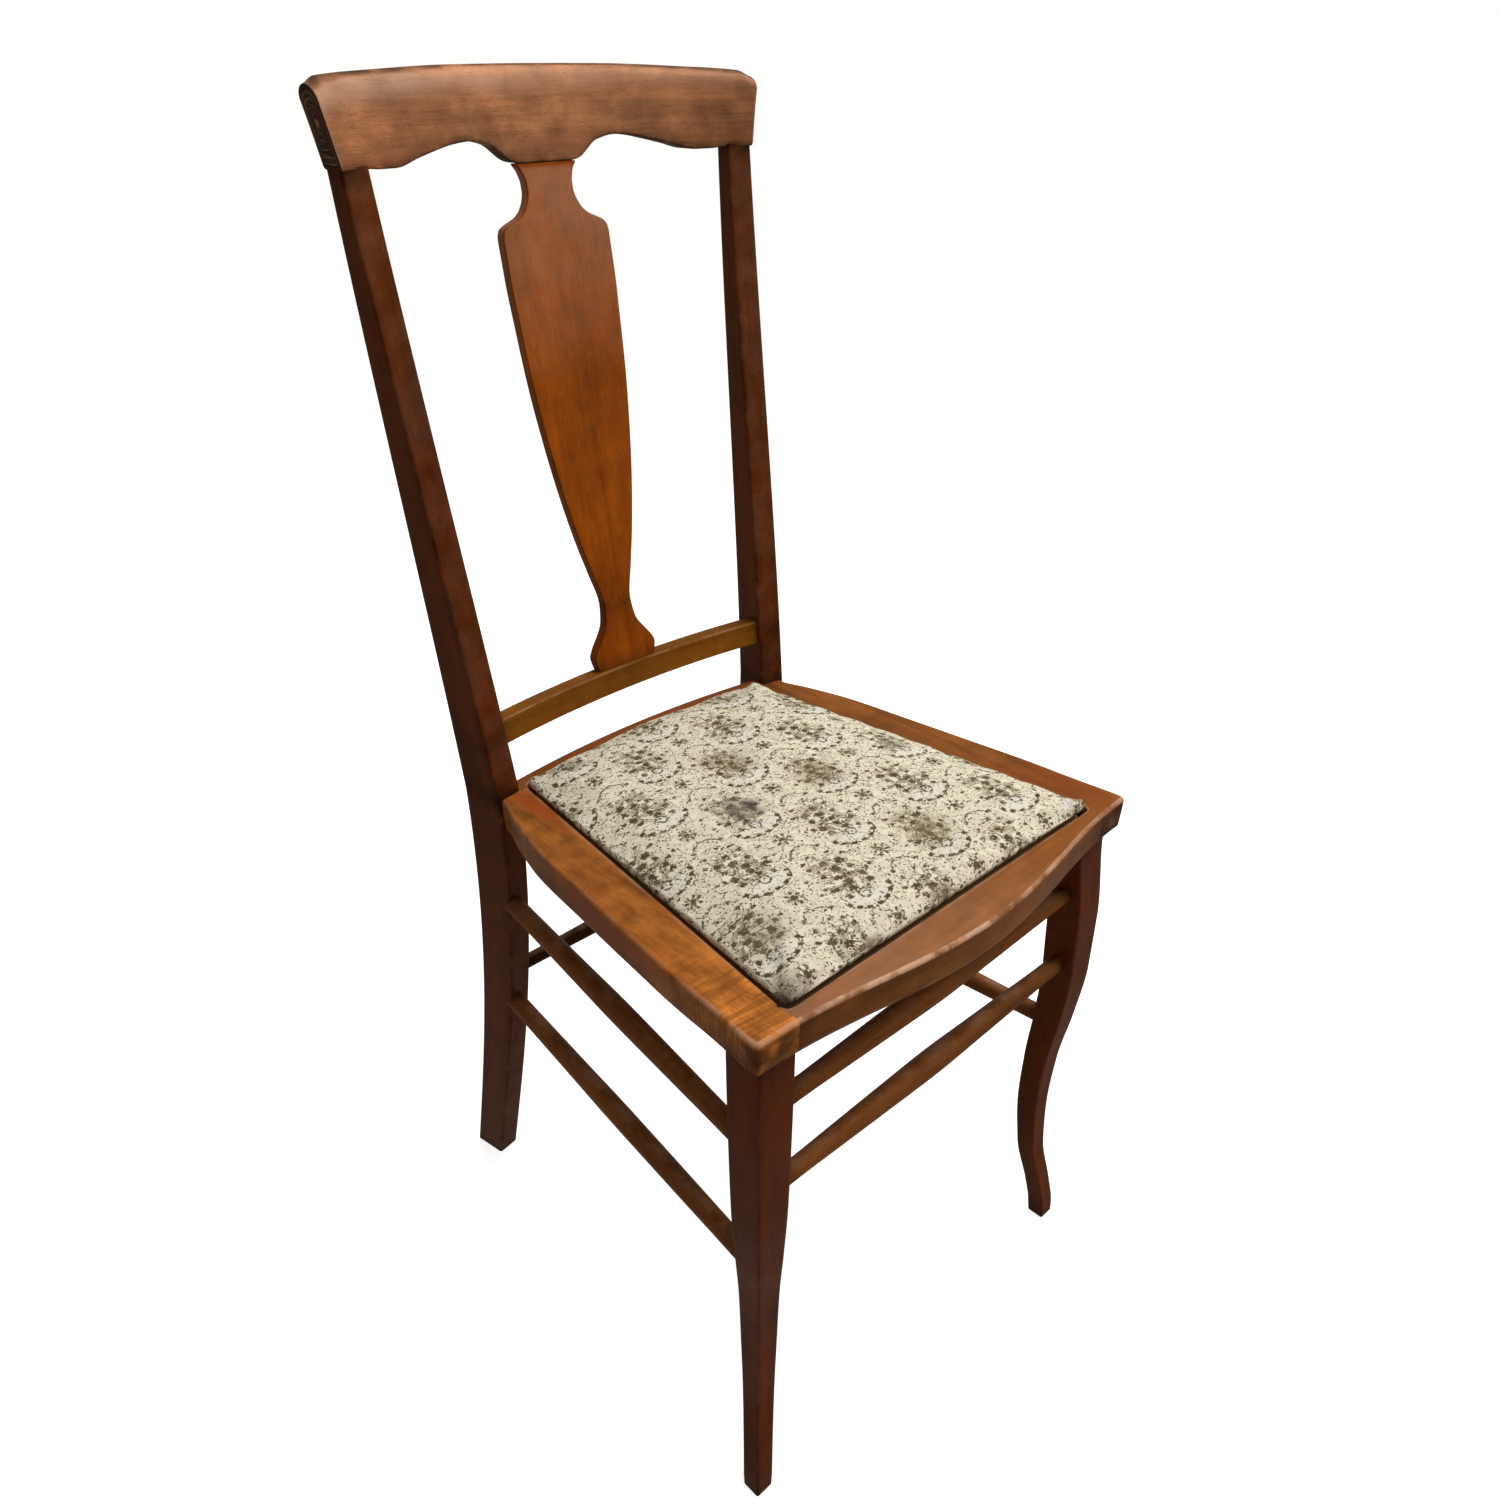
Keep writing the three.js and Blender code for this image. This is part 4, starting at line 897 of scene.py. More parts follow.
def figured_cover(context):
    """Figured cover: bouquets over dotted bowls, in columns that stand half a repeat apart.

    A point's column is its place across over the column's width, rounded, and every other column
    is mirrored. Blobs are soft ellipses round a middle. Rings of dots, for the bowl and the
    sprig, lie where the distance from their middle is close to a radius and the turn is close
    to one of its even steps.
    """
    tones, sizes = context.scene.chair_finishes, context.scene.chair_cushion
    paint = Paint("figured_cover")
    spot = paint.vector("MULTIPLY", paint.attribute("cloth_at", "Vector"), (1 / MM,) * 3)
    waver, ripple = paint.noise(spot, 0.02, 2, out=1), paint.noise(spot, 0.4, 2, 0.6, out=1)
    shaken = paint.vector("ADD", spot, paint.vector("MULTIPLY", waver, (7, 7, 0)))
    shaken = paint.vector("ADD", shaken, paint.vector("MULTIPLY", ripple, (2.6, 2.6, 0)))
    u, v, _ = paint.parts(paint.vector("SUBTRACT", shaken, (-6, -97.7, 0)))
    wide, tall = sizes.repeat_across / MM / 2, sizes.repeat_along / MM
    column = (u / wide + 0.5).of("FLOOR")
    mirror = 1 - column.of("FLOORED_MODULO", 2.0) * 2
    a = (u - column * wide) * mirror
    shifted = v + column * (tall / 2)
    b = paint.add("ShaderNodeMath", {"operation": "WRAP"}, {0: shifted, 1: tall / 2, 2: -tall / 2})
    cell = paint.join(a, b)

    def distance(x, y, wide=1.0, tall=1.0):
        away = paint.vector("SUBTRACT", cell, (x, y, 0))
        away = paint.vector("MULTIPLY", away, (1 / wide, 1 / tall, 0))
        return paint.add("ShaderNodeVectorMath", {"operation": "LENGTH"}, {0: away}, 1)

    def dots(x, y, flat, ring, reach, count, width):
        """A ring, flattened by a factor, of as many dots as the count."""
        turn = ((b - y) * flat).of("ARCTAN2", a - x)
        beat = abs((turn * (count / TURN)).of("FRACT") - 0.5) * 2
        near_ring = abs(distance(x, y, 1, 1 / flat) - ring)
        return paint.smooth(near_ring, reach, reach * 0.3) * paint.smooth(beat, width, width * 0.4)

    def line(x, y, flat, ring, reach):
        return paint.smooth(abs(distance(x, y, 1, 1 / flat) - ring), reach, reach * 0.3)

    def most(marks):
        total = marks[0]
        for mark in marks[1:]:
            total = total.of("MAXIMUM", mark)
        return total

    lower, upper = paint.smooth(b, 1.5, -0.5), paint.smooth(b, -52.0, -49.0)
    marks = [paint.smooth(distance(*blob), 1.8, 0.4) for blob in COVER_BLOBS]
    marks.append(dots(0, 0, 1.38, 19.0, 3.4, 14, 0.85) * lower * 1.2)
    marks.append(dots(0, -28, 1, 5.2, 2.8, 7, 0.65) * 0.9)
    lines = [
        line(0, 0, 1.38, 20.2, 1.6) * lower,
        line(0.8, -0.8, 0.9, 3.7, 1.6),
        line(0, -51.5, 1.1, 11, 1.6) * upper,
        paint.smooth(abs(paint.noise(cell, 0.07, 1) - 0.5), 0.045, 0.012) * 0.7,
        paint.smooth(abs(paint.noise(shaken, 0.17, 1) - 0.5), 0.045, 0.01) * 0.8,
    ]
    halo = most([
        paint.smooth(distance(0, 15, 20, 17), 1.15, 0.4),
        paint.smooth(distance(0, 34, 17, 11), 1.2, 0.4) * 0.9,
        paint.smooth(distance(0, -28, 9, 9), 1.2, 0.3) * 0.6,
    ])
    thread, pick = paint.noise(spot, 1.1, 2, 0.6), paint.noise(spot, 0.12, 2)
    fleck = paint.noise(shaken, 0.6, 3, 0.62)
    crowd = fleck + most([*marks, most(lines) * 0.8]) * 0.3 + halo * 0.06
    figure = paint.smooth(crowd, 0.64, 0.76) * (0.6 + pick * 0.8)

    weave_u, weave_v, _ = paint.parts(spot)
    rib_pitch, warp_pitch = 0.95, 0.7
    rib = abs((weave_v * (np.pi / rib_pitch)).of("SINE"))
    warp = abs((weave_u * (np.pi / warp_pitch)).of("SINE"))
    shade = tuple(tones.ground)
    olive, chalk, light_ink, brown, side_grey, hollow_shade = map(
        linear, ("96825c", "f4f0e6", "766546", "4c4130", "5c4f47", "57503c")
    )
    ground = paint.blend(paint.noise(spot, 0.03, 3), scaled(shade, 0.86), scaled(shade, 1.08))
    cloud = paint.smooth(paint.noise(shaken, 0.17, 3, 0.6), 0.4, 0.64)
    ground = paint.blend((halo * 0.65 + 0.14) * cloud, ground, olive)
    pale = paint.smooth(distance(0, -1, 18, 13), 1.1, 0.5) * paint.smooth(b, 4.0, -3.0)
    ground = paint.blend(pale * (0.3 + cloud * 0.5), ground, chalk)
    ink = paint.blend(paint.noise(spot, 0.25, 2), tuple(tones.figure), light_ink)
    cloth = paint.blend(figure, ground, ink)
    ragged = paint.noise(spot, 0.12, 4, 0.65) * 1.1 - 0.55
    for x, y, reach, code, weight in COVER_STAINS:
        away = ((weave_u - x) ** 2 + (weave_v - y) ** 2) ** 0.5 / reach + ragged
        cloth = paint.blend(paint.smooth(away, 1.15, 0.1) * weight, cloth, linear(code))
    shore = (weave_u + 159.5 - (weave_v + 189) * 0.1208) * 0.08 + ragged
    soiled = paint.smooth(shore, 0.9, -0.1) * paint.smooth(weave_v, 30, -40) * (0.2 + figure * 0.4)
    cloth = paint.blend(soiled, cloth, brown)
    # The cushion's side turns greyer and darker down towards the rail.
    edge_tone = paint.smooth(paint.attribute("edge"), 0.1, 0.9) * paint.smooth(thread, 0.2, 0.7)
    cloth = paint.blend(edge_tone * 0.3, cloth, side_grey)
    # Painted shade: the hollows between the ribs and warp threads are darkened a little.
    thread_tone = rib * 0.5 + warp * 0.35 + thread * 0.3
    cloth = paint.blend((1 - thread_tone) * 0.1, cloth, hollow_shade)
    return paint.finish({
        "Base Color": cloth, "Roughness": 0.86 + thread * 0.1,
        "Specular IOR Level": 0.1,
        "Normal": paint.bump(rib + warp * 0.6 + figure * 0.8, 0.22 * MM, 0.6),
    })


# Operators, one for each piece or group of like pieces


class ChairPosts(bpy.types.Operator):
    """Rear posts from the floor to the crest rail"""

    bl_idname = "chair.posts"
    bl_label = "Rear posts"

    def execute(self, context):
        """Each section is a rectangle with round arrises, carried up the post's curve."""
        seat, back = context.scene.chair_seat_frame, context.scene.chair_back
        z = np.concatenate([
            np.linspace(0, seat.height, 70), np.linspace(seat.height, back.post_top, 61)[1:]
        ])
        z[-1] += 2.5 * MM
        corner, inward, backward, width, depth = post_place(context, z)
        middle = corner + inward * width[:, None] / 2 + backward * depth[:, None] / 2
        section, wear = rounded_section(width, depth, back.post_arris)
        across, deep = section[..., :1] * inward[:, None], section[..., 1:] * backward[:, None]
        points = middle[:, None] + across + deep
        height = np.broadcast_to(z[:, None], points.shape[:2])
        grain = np.stack([height, section[..., 0], section[..., 1]], -1)
        joints = near(z, seat.height, 0.03) + near(z, back.post_top, 0.02) + near(z, 0, 0.02)
        joints += near(z, back.low_lift + seat.height + back.low_height / 2, 0.018) * 0.7
        front = np.clip(-2 * section[..., 1] / depth[:, None], 0, 1) ** 4
        grime = np.clip(joints[:, None] * 0.7 + wear * 0.35 + front * 0.3, 0, 1)
        rows = skin_rows(points, grain, wear * 0.2 + front * 0.12, grime)
        wood = polished_wood(
            context, "post_wood", "post", figure=0.15, patches=0.6, red=0.4, wear=0.5
        )
        for side, made in (("left", rows), ("right", flipped(rows))):
            piece = add_skin(f"post_{side}", soft_ends(made, 1.6 * MM, top=False))
            wooden(piece, f"rear_post_{side}", wood, "dark_wood")
        return {"FINISHED"}


class ChairCrest(bpy.types.Operator):
    """Bowed crest rail with a rounded top and a shaped lower edge"""

    bl_idname = "chair.crest"
    bl_label = "Crest rail"

    def execute(self, context):
        """Sections across the rail: flat front and back, small lower arrises and a rounded top."""
        back = context.scene.chair_back
        base = back.post_top + 0.3 * MM
        stations = [side * place for place, _ in CREST_LOWER for side in (-1, 1)]
        at = np.unique(np.concatenate([np.linspace(-1, 1, 181), stations]))
        low = base + through(CREST_LOWER, np.abs(at)) * back.crest_height
        high = base + through(CREST_TOP, np.abs(at)) * back.crest_height
        thick = mix(back.crest_thin, back.crest_thick, at * at)
        turn_in, small = high - back.crest_round, 1.6 * MM
        columns, wear = [], []

        def column(z, deep, worn_and_highlight=0.0):
            columns.append((z + 0 * low, deep + 0 * low))
            wear.append(worn_and_highlight)

        for turn in np.linspace(0, np.pi / 2, 5):
            column(low + small * (1 - np.sin(turn)), small * (1 - np.cos(turn)), 0.1)
        for t in np.linspace(0, 1, 5)[1:-1]:
            column(low, mix(small, thick - small, t))
        for turn in np.linspace(np.pi / 2, 0, 5):
            sine, cosine = np.sin(turn), np.cos(turn)
            column(low + small * (1 - sine), thick - small * (1 - cosine), 0.4 * np.sin(2 * turn))
        for t in np.linspace(0, 1, 9)[1:-1]:
            column(mix(low + small, turn_in, t), thick)
        # The front of the rounded top is marked as wear: rubbed wood and a painted highlight.
        for turn in np.linspace(0, np.pi, 21):
            rise = back.crest_round * np.sin(turn)
            column(turn_in + rise, thick * (1 + np.cos(turn)) / 2, 0.2 * near(turn, 2.7, 1.2))
        for t in np.linspace(0, 1, 13)[1:-1]:
            column(mix(turn_in, low + small, t), 0 * thick)
        z = np.stack([c[0] for c in columns], 1)
        deep = np.stack([c[1] for c in columns], 1)
        half = back.post_outer + back.post_spread
        flare = back.crest_flare * (z - base) / (back.crest_height - back.crest_round)
        x = at[:, None] * (half + flare)
        points = np.stack([x, crest_front(context, x, z) + deep, z], -1)
        # Darker towards the lower edge, and on the back half of the top.
        grime = 0.5 * near(z, low[:, None], 4 * MM) + 0.45 * near(z, low[:, None], 0.05)
        grime += 0.9 * (deep > 3 * MM) * near(z, high[:, None], 8 * MM)
        # Painted highlight: a pale haze along the upper front, brightest at the -X end, stored as
        # grime below 0.
        haze_and_sheen = near(z, high[:, None] - 9 * MM, 0.017) * (deep < 2 * MM) * (0.6 - 0.4 * at[:, None])
        grime = grime - haze_and_sheen * (grime < 0.4)
        rows = skin_rows(points, np.stack([x, z, deep], -1), wear, grime)
        end_grime, closing = 1.2, 6
        rows = soft_ends(rows, 1.4 * MM, closing - 1)
        rows[:closing, :, 7] = rows[-closing:, :, 7] = end_grime
        piece = add_skin("crest", rows)
        wood = polished_wood(
            context, "crest_wood", "crest", figure=0.3, patches=1.2, red=0.4, wear=1.0, speckle=0.6
        )
        wooden(piece, "crest_rail", wood, "rail_wood")
        return {"FINISHED"}


class ChairSplat(bpy.types.Operator):
    """Vase-shaped splat between the lower rail and the crest"""

    bl_idname = "chair.splat"
    bl_label = "Splat"

    def execute(self, context):
        """Sections up the splat, as wide as the outline's curve says, with small round arrises."""
        seat, back = context.scene.chair_seat_frame, context.scene.chair_back
        bottom = seat.height + back.low_lift + back.low_height
        top = back.post_top + CREST_LOWER[0][1] * back.crest_height
        outline = [(h, s * back.splat_foot) for h, s in SPLAT_FOOT]
        outline += [(h, mix(back.splat_waist, back.splat_shoulder, s)) for h, s in SPLAT_BODY]
        outline += [(h, mix(back.splat_neck, back.splat_shoulder, s)) for h, s in SPLAT_NECK]
        at = np.concatenate([
            np.linspace(0, 0.14, 46), np.linspace(0.14, 0.86, 60)[1:],
            np.linspace(0.86, 0.93, 46)[1:], np.linspace(0.93, 1, 26)[1:],
        ])
        half = through(outline, at)
        z = mix(bottom, top, at)
        foot = line_depth(context) + back.post_front + back.low_reach + back.splat_back
        front = mix(foot, crest_front(context, 0, top), at) + 4 * back.splat_bow * at * (1 - at)
        section, wear = rounded_section(2 * half, 0 * half + back.splat_thickness, 1.1 * MM, 4, 12)
        deep = section[..., 1] + back.splat_thickness / 2
        height = np.broadcast_to(z[:, None], deep.shape)
        points = np.stack([section[..., 0], front[:, None] + deep, height], -1)
        grain = np.stack([points[..., 2], section[..., 0], deep], -1)
        ends = near(z, bottom, 0.02) + near(z, top, 0.005) + near(at, 0.14, 0.16) * 0.9
        grime = np.clip(ends[:, None] * 0.6 + wear * 0.7, 0, 1)
        # Grime below 0 makes the splat paler towards its top.
        grime = grime - 0.3 * np.clip((at - 0.6) / 0.35, 0, 1)[:, None]
        piece = add_skin("splat_board", skin_rows(points, grain, wear * 0.1, grime))
        wood = polished_wood(
            context, "splat_wood", "splat", figure=0.15, patches=0.7, red=0.3, wear=0.6, speckle=0.3
        )
        wooden(piece, "splat", wood, "splat_wood")
        return {"FINISHED"}


class ChairLowerRail(bpy.types.Operator):
    """Lower back rail between the posts"""

    bl_idname = "chair.lower_rail"
    bl_label = "Lower back rail"

    def execute(self, context):
        """A rectangle with round arrises, carried along a bow of the second power."""
        seat, back = context.scene.chair_seat_frame, context.scene.chair_back
        middle = seat.height + back.low_lift + back.low_height / 2
        reach = post_middle(context, middle)[0] - 0.009
        at = np.linspace(-1.02, 1.02, 61)
        x = at * reach
        sides = (0 * x + back.low_thickness, 0 * x + back.low_height)
        section, wear = rounded_section(*sides, 1.5 * MM, 4, 8)
        z = middle + section[..., 1]
        front = line_depth(context) + back.post_front + back.low_reach
        y = front - back.low_bow * (x[:, None] / reach) ** 2 + 0.13 * (z - middle)
        y = y + section[..., 0] + back.low_thickness / 2
        points = np.stack([np.broadcast_to(x[:, None], z.shape), y, z], -1)
        grain = np.stack([points[..., 0] + 0.3, section[..., 1], section[..., 0]], -1)
        ends = near(np.abs(x), reach, 0.02) + near(x, 0, 0.035) * 0.35
        rows = skin_rows(points, grain, wear * 0.5, ends[:, None])
        piece = add_skin("back_rail_lower", rows, "flat")
        wood = polished_wood(
            context, "lower_rail_wood", "low_rail", figure=0.15, patches=0.5, red=0.15, wear=0.6
        )
        wooden(piece, "lower_back_rail", wood, "dark_wood")
        return {"FINISHED"}


class ChairSeatRails(bpy.types.Operator):
    """Four seat rails round the opening, with a rebate for the drop-in seat"""

    bl_idname = "chair.seat_rails"
    bl_label = "Seat rails"

    def execute(self, context):
        """Each rail is the rail's section carried between its outer and inner edges in plan."""
        seat = context.scene.chair_seat_frame
        low = seat.height - seat.depth
        edge = opening_edge(context)
        side_wood = polished_wood(
            context, "side_rail_wood", "rail", figure=0.4, patches=1.5, red=0.9, wear=0.9,
            strength=0.82, ribbon=0.6,
        )
        front_wood = polished_wood(
            context, "front_rail_wood", "rail", figure=0.2, patches=0.7, red=0.6, wear=1.1,
            strength=0.75,
        )

        def front_edge(x):
            return -(seat.front + seat.bow * (1 + np.cos(np.pi * x / seat.front_half)) / 2)

        # Front rail, from joint to joint
        x = np.linspace(-seat.joint, seat.joint, 141)
        outer = np.stack([x, front_edge(x)], -1)
        front_half = edge[: edge[:, 0].argmax() + 1]
        inner = np.stack([x, np.interp(np.abs(x), front_half[:, 0], front_half[:, 1])], -1)
        bottom = np.full(len(x), low + seat.lift)
        worn_and_highlight = np.clip(1.3 - x / seat.joint, 0.6, 1.8)
        grime = 0.5 * near(np.abs(x), seat.joint, 0.06)
        rows = rail_rows(context, outer, inner, bottom, "x", worn_and_highlight, grime)
        # Painted sheen: a pale haze on the front rail's top, strongest towards its -X end, stored
        # as grime below 0.
        on_top = rows[..., 2] > seat.height - seat.top_arris
        rows[..., 7] -= 0.22 * on_top * np.clip(0.6 - x / seat.joint, 0, 1)[:, None]
        piece = add_skin("rail_front", rows, "flat")
        wooden(piece, "seat_rail_front", front_wood, "rail_wood")

        # Side rails, from the front joint round the corner to the rear post
        count = 181
        corner = np.array([seat.front_half, -seat.front])
        rear = seat.back_joint - 3.4 * MM
        depth = np.linspace(1, 0, 160)
        side = np.stack([
            mix(seat.rear_half, seat.front_half, through(SIDE_OUTLINE, depth)),
            mix(rear, -seat.front, depth),
        ], -1)
        side = side[side[:, 1] > corner[1] + seat.corner]
        x = np.linspace(seat.joint + JOINT_GAP, corner[0] - seat.corner, 12)
        start = np.stack([x, front_edge(x)], -1)
        t = np.linspace(0, 1, 12)[1:-1, None]
        turned = (1 - t) ** 2 * start[-1] + 2 * t * (1 - t) * corner + t**2 * side[0]
        end = np.array([[seat.rear_half - 0.5 * MM, seat.back_joint]])
        outer = resample(np.concatenate([start, turned, side, end]), count)
        past_joint = (edge[:, 0] > seat.joint - 2 * MM) | (edge[:, 1] > -170 * MM)
        past_corner = (edge[:, 1] < seat.back_joint) & (edge[:, 1] > -181.2 * MM)
        reach = edge[past_joint & past_corner]
        first = np.array([[seat.joint + JOINT_GAP, reach[0, 1] - 1 * MM]])
        last = np.array([[reach[-1, 0] - 1.5 * MM, seat.back_joint]])
        inner = resample(np.concatenate([first, reach, last]), count)
        place = np.clip((outer[:, 1] + seat.front) / (seat.front + rear), 0, 1)
        bottom = low + seat.lift * through(RAIL_LIFT, place)
        worn_and_highlight = np.clip(0.9 - place * 2.5, 0.25, 1)
        # Sides darkened near the front corner, by dirt and painted shade, and at the rear joint by
        # dirt.
        grime = 0.8 * near(place, 0, 0.25) + 0.3 * near(place, 1, 0.06)
        rows = rail_rows(context, outer, inner, bottom, "y", worn_and_highlight, grime)
        for name, made, wood in (("left", rows, front_wood), ("right", flipped(rows), side_wood)):
            piece = add_skin(f"rail_{name}", made, "flat")
            wooden(piece, f"seat_rail_{name}", wood, "rail_wood")

        # Back rail, whose ends are hidden in the posts
        back = context.scene.chair_back
        count, half_span, joint_half = 61, 136 * MM, 129.5 * MM
        joint_line = seat.back_joint + 2 * JOINT_GAP
        x = np.linspace(0, half_span, 40)
        line = back.post_front + seat.back_reach - seat.back_bow * (x / back.post_outer) ** 2
        outer = np.concatenate([np.stack([x, line], -1), [[joint_half, joint_line]]])
        inner = np.concatenate([edge[edge[:, 1] > joint_line][::-1], [[last[0, 0], joint_line]]])
        outer, inner = resample(outer, count), resample(inner, count)
        both = [np.concatenate([(line * [-1, 1])[:0:-1], line]) for line in (outer, inner)]
        bottom = np.full(len(both[0]), low + seat.lift * RAIL_LIFT[-1][1])
        rows = rail_rows(context, *both, bottom, "x", np.full(len(both[0]), 0.3))
        rows[..., 3] += 1.3
        piece = add_skin("rail_back", rows, "flat")
        wooden(piece, "seat_rail_back", front_wood, "rail_wood")
        return {"FINISHED"}


class ChairLegs(bpy.types.Operator):
    """Curved front legs"""

    bl_idname = "chair.legs"
    bl_label = "Front legs"

    def execute(self, context):
        """A square with round arrises, carried down the leg's curve and tapered to the foot."""
        seat, legs = context.scene.chair_seat_frame, context.scene.chair_legs
        top = seat.height - seat.depth + seat.lift
        z = np.linspace(0, top, 111)
        side = legs.side * through(LEG_SIDE, z / top)
        section, wear = rounded_section(side, side, legs.arris)
        level = np.concatenate([section, np.zeros((*section.shape[:2], 1))], -1)
        points = level + leg_middle(context, z)[:, None]
        grain = np.stack([points[..., 2] + 1.7, section[..., 0], section[..., 1]], -1)
        joints = near(z, top, 0.03) + near(z, 0, 0.02)
        grime = np.clip(joints[:, None] * 0.7 + wear * 0.35, 0, 1)
        rows = skin_rows(points, grain, wear * 0.2, grime)
        wood = polished_wood(
            context, "leg_wood", "post", figure=0.2, patches=0.7, red=0.3, wear=0.6
        )
        for name, made in (("left", rows), ("right", flipped(rows))):
            piece = add_skin(f"leg_{name}", soft_ends(made, 1.4 * MM, top=False))
            wooden(piece, f"front_leg_{name}", wood, "dark_wood")
        return {"FINISHED"}


class ChairStretchers(bpy.types.Operator):
    """Turned stretchers between the legs"""

    bl_idname = "chair.stretchers"
    bl_label = "Stretchers"

    def execute(self, context):
        """A circle carried from leg to leg, whose radius swells evenly to the middle."""
        seat, legs = context.scene.chair_seat_frame, context.scene.chair_legs
        other = np.array([-1, 1, 1])

        def front(drop):
            return leg_middle(context, np.array([seat.height - drop * MM]))[0]

        def rear(drop):
            return post_middle(context, seat.height - drop * MM)

        wide, side, behind = (
            (legs.front_end, legs.front_middle), (legs.side_end, legs.side_middle),
            (legs.rear_end, legs.rear_middle),
        )
        # Ends of each stretcher, in millimetres below the top of the seat frame
        runs = {
            "front_upper": (front(82) * other, front(82), wide),
            "front_lower": (front(149) * other, front(149), wide),
            "side_upper_left": (front(114), rear(102), side),
            "side_upper_right": (front(114) * other, rear(102) * other, side),
            "side_lower_left": (front(217), rear(210), side),
            "side_lower_right": (front(226) * other, rear(214) * other, side),
            "rear": (rear(193) * other, rear(193), behind),
        }
        wood = polished_wood(
            context, "stretcher_wood", "stretcher", figure=0.15, patches=0.6, red=0.25, wear=0.5
        )
        # The rear stretcher is a much darker copy of the post wood: painted shade for its place
        # under the seat.
        shaded_post_wood = polished_wood(
            context, "rear_stretcher_wood", "post", figure=0.15, patches=0.5, red=0.3, wear=0.4,
            strength=0.3,
        )
        for number, (name, (start, end, (thin, thick))) in enumerate(runs.items()):
            at = np.linspace(0, 1, 71)
            radius = mix(thin, thick, through(STRETCHER_SWELL, np.minimum(at, 1 - at)))
            long = np.linalg.norm(end - start)
            along = (end - start) / long
            up = np.cross(np.cross(along, [0, 0, 1]), along)
            up /= np.linalg.norm(up)
            across = np.cross(along, up)
            turn = np.linspace(0, TURN, 33)[:-1]
            uneven = 1 + 0.012 * np.sin(2 * turn[None] + 9 * at[:, None] + number)
            circle = radius[:, None] * uneven
            points = (start + (end - start) * at[:, None])[:, None] + circle[..., None] * (
                np.cos(turn)[:, None] * across + np.sin(turn)[:, None] * up
            )
            grain = np.stack([
                np.broadcast_to(at[:, None] * long + 0.9 * number, circle.shape),
                circle * np.cos(turn), circle * np.sin(turn),
            ], -1)
            joint, reach = 12 * MM, 30 * MM
            ends = near(at * long, joint, reach) + near(at * long, long - joint, reach)
            # Painted highlight along each stretcher's top, stored as wear; grime at the joints, and
            # painted shade along the underside.
            light = 0.7 * np.clip(np.sin(turn), 0, 1) ** 6
            grime = np.clip(ends, 0, 1)[:, None] + 0.45 * np.clip(-np.sin(turn), 0, 1)
            piece = add_skin(f"spindle_{name}", skin_rows(points, grain, light, grime))
            finish = (shaded_post_wood, "dark_wood") if name == "rear" else (wood, "stretcher_wood")
            wooden(piece, f"stretcher_{name}", *finish)
        return {"FINISHED"}


class ChairCushion(bpy.types.Operator):
    """Stuffed cushion with its figured cover"""

    bl_idname = "chair.cushion"
    bl_label = "Cushion"

    def execute(self, context):
        """Rings inside the opening rise over a rolled edge to a crown; stuffing then swells it."""
        sizes = context.scene.chair_cushion

        def ring(keep, spare, z):
            plan = drawn_in(opening_ring(context, sizes.gap + spare, 9, CUSHION_CORNER), keep)
            return np.concatenate([plan, np.full((len(plan), 1), z)], 1)

        base, roll = sizes.bottom, sizes.roll
        shoulder = base + sizes.edge
        rings = [ring(k, 3 * MM, base) for k in (0.1, 0.5, 0.8, 0.95)]
        rings += [ring(1, 3 * MM, base), ring(1, 0.8 * MM, base + 0.4 * sizes.edge)]
        for turn in np.linspace(0, np.pi / 2, 6):
            rings.append(ring(1, roll * (1 - np.cos(turn)), shoulder + roll * np.sin(turn)))
        for keep in (0.97, 0.93, 0.87, 0.8, 0.72, 0.62, 0.5, 0.38, 0.25, 0.12):
            rise = (sizes.crown - roll) * (1 - keep**2.2)
            rings.append(ring(keep, roll, shoulder + roll + rise))
        points = np.array(rings) + [0, line_depth(context), 0]
        piece = add_skin("cushion", skin_rows(points, points, 0.0))
        swell(context, piece, base, sizes.swell)
        subdivide = piece.modifiers.new("finer", "SUBSURF")
        subdivide.levels = subdivide.render_levels = 1
        apply_modifiers(context, piece)
        self.store_cloth(context, piece)
        piece.data.shade_smooth()
        piece.data.materials.append(figured_cover(context))
        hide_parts("seat_cushion")
        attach(piece, SEAT_BODY)
        return {"FINISHED"}

    def store_cloth(self, context, piece):
        """Where each point lies on the flat cloth: its plan, carried on outwards down the side."""
        sizes, mesh = context.scene.chair_cushion, piece.data
        count = len(mesh.vertices)
        place, out = np.empty(count * 3, np.float32), np.empty(count * 3, np.float32)
        mesh.vertices.foreach_get("co", place)
        mesh.vertices.foreach_get("normal", out)
        place, out = place.reshape(-1, 3), out.reshape(-1, 3)
        rim = sizes.bottom + sizes.edge + sizes.roll
        drop = np.clip(rim - place[:, 2], 0, None)[:, None]
        plan = place[:, :2] + out[:, :2] * drop - [0, line_depth(context)]
        spot = mesh.attributes.new("cloth_at", "FLOAT_VECTOR", "POINT")
        spot.data.foreach_set("vector", np.c_[plan, np.zeros(count)].astype(np.float32).ravel())
        edge = mesh.attributes.new("edge", "FLOAT", "POINT")
        down = np.clip(drop[:, 0] / (sizes.edge + sizes.roll), 0, 1)
        edge.data.foreach_set("value", down.astype(np.float32))


def apply_modifiers(context, piece):
    """Turns a piece with its modifiers into a plain mesh."""
    context.view_layer.update()
    evaluated = piece.evaluated_get(context.evaluated_depsgraph_get())
    mesh = bpy.data.meshes.new_from_object(evaluated)
    piece.modifiers.clear()
    piece.data = mesh


def points_of(mesh):
    """A mesh's points as an array."""
    place = np.empty(len(mesh.vertices) * 3)
    mesh.vertices.foreach_get("co", place)
    return place.reshape(-1, 3)


